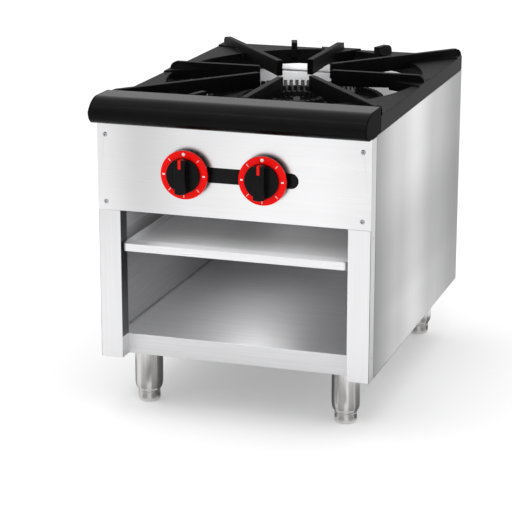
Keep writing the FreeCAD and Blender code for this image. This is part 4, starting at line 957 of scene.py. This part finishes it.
rail_black = skinned("rail_black", grey(0.004), grey(0.0025), grain=500,
                     smooth=0.2, dull=0.27, depth=0.00002, shine=0.06)
cap_black = skinned("cap_black", grey(0.005), grey(0.003), grain=500,
                    smooth=0.55, dull=0.65, depth=0.00003, shine=0.015)
rail_edge = 0.0008
cap_edge = 0.0005
eased("front_rail", "bullnose_rail", rail_edge, rail_black, "cabinet", flat=False)
eased("rail_end_caps", "bullnose_caps", cap_edge, cap_black, "cabinet", flat=False)
dress(zinc_fastener, "rail_bolts")


# Top grate: one heavy iron casting, a plate with an oval opening and eight fingers that carry the pot.
# It lies loose on the cabinet, coated in matt black, with the sand skin still in its surface.

grate_iron = skinned("grate_iron", grey(0.003), grey(0.0015), grain=700,
                     smooth=0.42, dull=0.54, depth=0.0002, shine=0.05)
grate_edge = 0.0014
eased("top_grate", "iron_grate", grate_edge, grate_iron, "grate", flat=False)


# Stage: a white floor and surround, soft boxes above and at the front left, weak lamps in the hollows,
# and grey cards on the floor that only mirrored rays see.
# The camera stands at the front right, a little above the stove, with a long lens.

scene = bpy.context.scene
surround = bpy.data.worlds.new("white_surround")
surround.use_nodes = True
scene.world = surround
sky = surround.node_tree.nodes["Background"].inputs
sky["Color"].default_value = grey(1)
sky["Strength"].default_value = 1.0


def matt(name, tone):
    """A plain matt paint, for what stands round the stove."""
    paint = bpy.data.materials.new(name)
    paint.use_nodes = True
    shader = paint.node_tree.nodes["Principled BSDF"].inputs
    shader["Base Color"].default_value = grey(tone)
    shader["Roughness"].default_value = 0.9
    shader["Specular IOR Level"].default_value = 0.0
    return paint


floor_reach = 12
floor_tone = 0.9
floor_glow = 0.18
floor_mesh = bpy.data.meshes.new("white_floor")
floor_corners = [(-floor_reach, -floor_reach, 0), (floor_reach, -floor_reach, 0),
                 (floor_reach, floor_reach, 0), (-floor_reach, floor_reach, 0)]
floor_mesh.from_pydata(floor_corners, [], [(0, 1, 2, 3)])
floor_paint = matt("white_floor_paint", floor_tone)
floor_tree = floor_paint.node_tree
floor_shader = floor_tree.nodes["Principled BSDF"].inputs
floor_shader["Emission Color"].default_value = grey(1)
floor_ray = floor_tree.nodes.new("ShaderNodeLightPath").outputs
floor_mirrored = reckoned(floor_tree, "MAXIMUM", floor_ray["Is Camera Ray"], floor_ray["Is Glossy Ray"])
floor_seen = reckoned(floor_tree, "MAXIMUM", floor_mirrored, floor_ray["Is Transmission Ray"])
floor_level = reckoned(floor_tree, "MULTIPLY", floor_seen, floor_glow)
floor_tree.links.new(floor_level, floor_shader["Emission Strength"])
floor_mesh.materials.append(floor_paint)
floor = set_down("white_floor", floor_mesh)


def soft_box(name, place, target, width, height, power):
    """A rectangular studio lamp at a place, turned to face a target."""
    lamp = bpy.data.lights.new(name, "AREA")
    lamp.shape = "RECTANGLE"
    lamp.size = width
    lamp.size_y = height
    lamp.energy = power
    holder = set_down(name, lamp)
    holder.location = place
    holder.rotation_mode = "QUATERNION"
    holder.rotation_quaternion = (Vector(target) - Vector(place)).to_track_quat("-Z", "Y")


soft_box("top_box", (-0.3, -0.4, 2.6), (0, 0, 0.4), width=2.4, height=2.0, power=6)
soft_box("rail_glint", (0, -0.55, 2.2), (0, -0.33, 0.52), width=1.8, height=0.06, power=2)
soft_box("front_left_box", (-1.5, -2.6, 0.9), (0, -0.3, 0.3), width=1.2, height=1.0, power=1.5)
soft_box("bay_strip", (-0.04, -0.10, 0.27), (-0.04, -0.09, 0.13), width=0.10, height=0.32, power=0.3)
soft_box("tray_strip", (0, -0.235, 0.345), (0, -0.25, 0.28), width=0.34, height=0.05, power=0.16)
soft_box("chamber_strip", (0, 0.17, 0.478), (0, 0.303, 0.44), width=0.30, height=0.04, power=0.22)

card_rise = 0.002


def grey_card(name, corners, tone):
    """A card on the floor by its four corners, which only shows where the steel mirrors it."""
    sheet = bpy.data.meshes.new(name)
    sheet.from_pydata([(x, y, card_rise) for x, y in corners], [], [(0, 1, 2, 3)])
    sheet.materials.append(matt(name, tone))
    card = set_down(name, sheet)
    card.visible_camera = False
    card.visible_shadow = False
    card.visible_diffuse = False


# The card under the cabinet stands in for the shade on the floor there, which the legs mirror.
grey_card("under_card", ((-0.14, -0.25), (0.14, -0.25), (0.14, 0.30), (-0.14, 0.30)), tone=0.3)
grey_card("rail_card", ((-0.24, -0.36), (0.24, -0.36), (0.18, -0.46), (-0.30, -0.46)), tone=0.05)
grey_card("panel_card", ((-1.8, -1.45), (-0.62, -1.45), (-0.85, -3.4), (-2.6, -3.4)), tone=0.7)

# Each leg's cards fan out round it: degrees from the heading of the camera, half spread, tone
leg_cards = ((-140, 25, 0.4), (-42, 24, 0.6), (36, 22, 0.5), (95, 30, 0.25))
camera_heading = -68.4
card_near = 0.03
front_card_far = 0.27
rear_card_far = 0.12
for place, centre in leg_places.items():
    card_far = rear_card_far if place.startswith("rear") else front_card_far
    for turn, spread, tone in leg_cards:
        corners = []
        for side, reach in ((-1, card_near), (1, card_near), (1, card_far), (-1, card_far)):
            heading = radians(turn + side * spread + camera_heading)
            corners.append((centre[0] + reach * cos(heading), centre[1] + reach * sin(heading)))
        grey_card(f"{place}_leg_card", corners, tone)

camera_place = Vector((0.98377, -3.16352, 1.13874))
camera_yaw = -0.3182
camera_pitch = -0.2738
level_share = cos(camera_pitch)
camera_sight = Vector((sin(camera_yaw) * level_share, cos(camera_yaw) * level_share, sin(camera_pitch)))
lens = bpy.data.cameras.new("long_lens")
lens.lens = 136.73
lens.sensor_width = 36
lens.clip_end = 60
camera = set_down("long_lens", lens)
camera.location = camera_place
camera.rotation_mode = "QUATERNION"
camera.rotation_quaternion = camera_sight.to_track_quat("-Z", "Y")
scene.camera = camera
scene.view_settings.view_transform = "Standard"
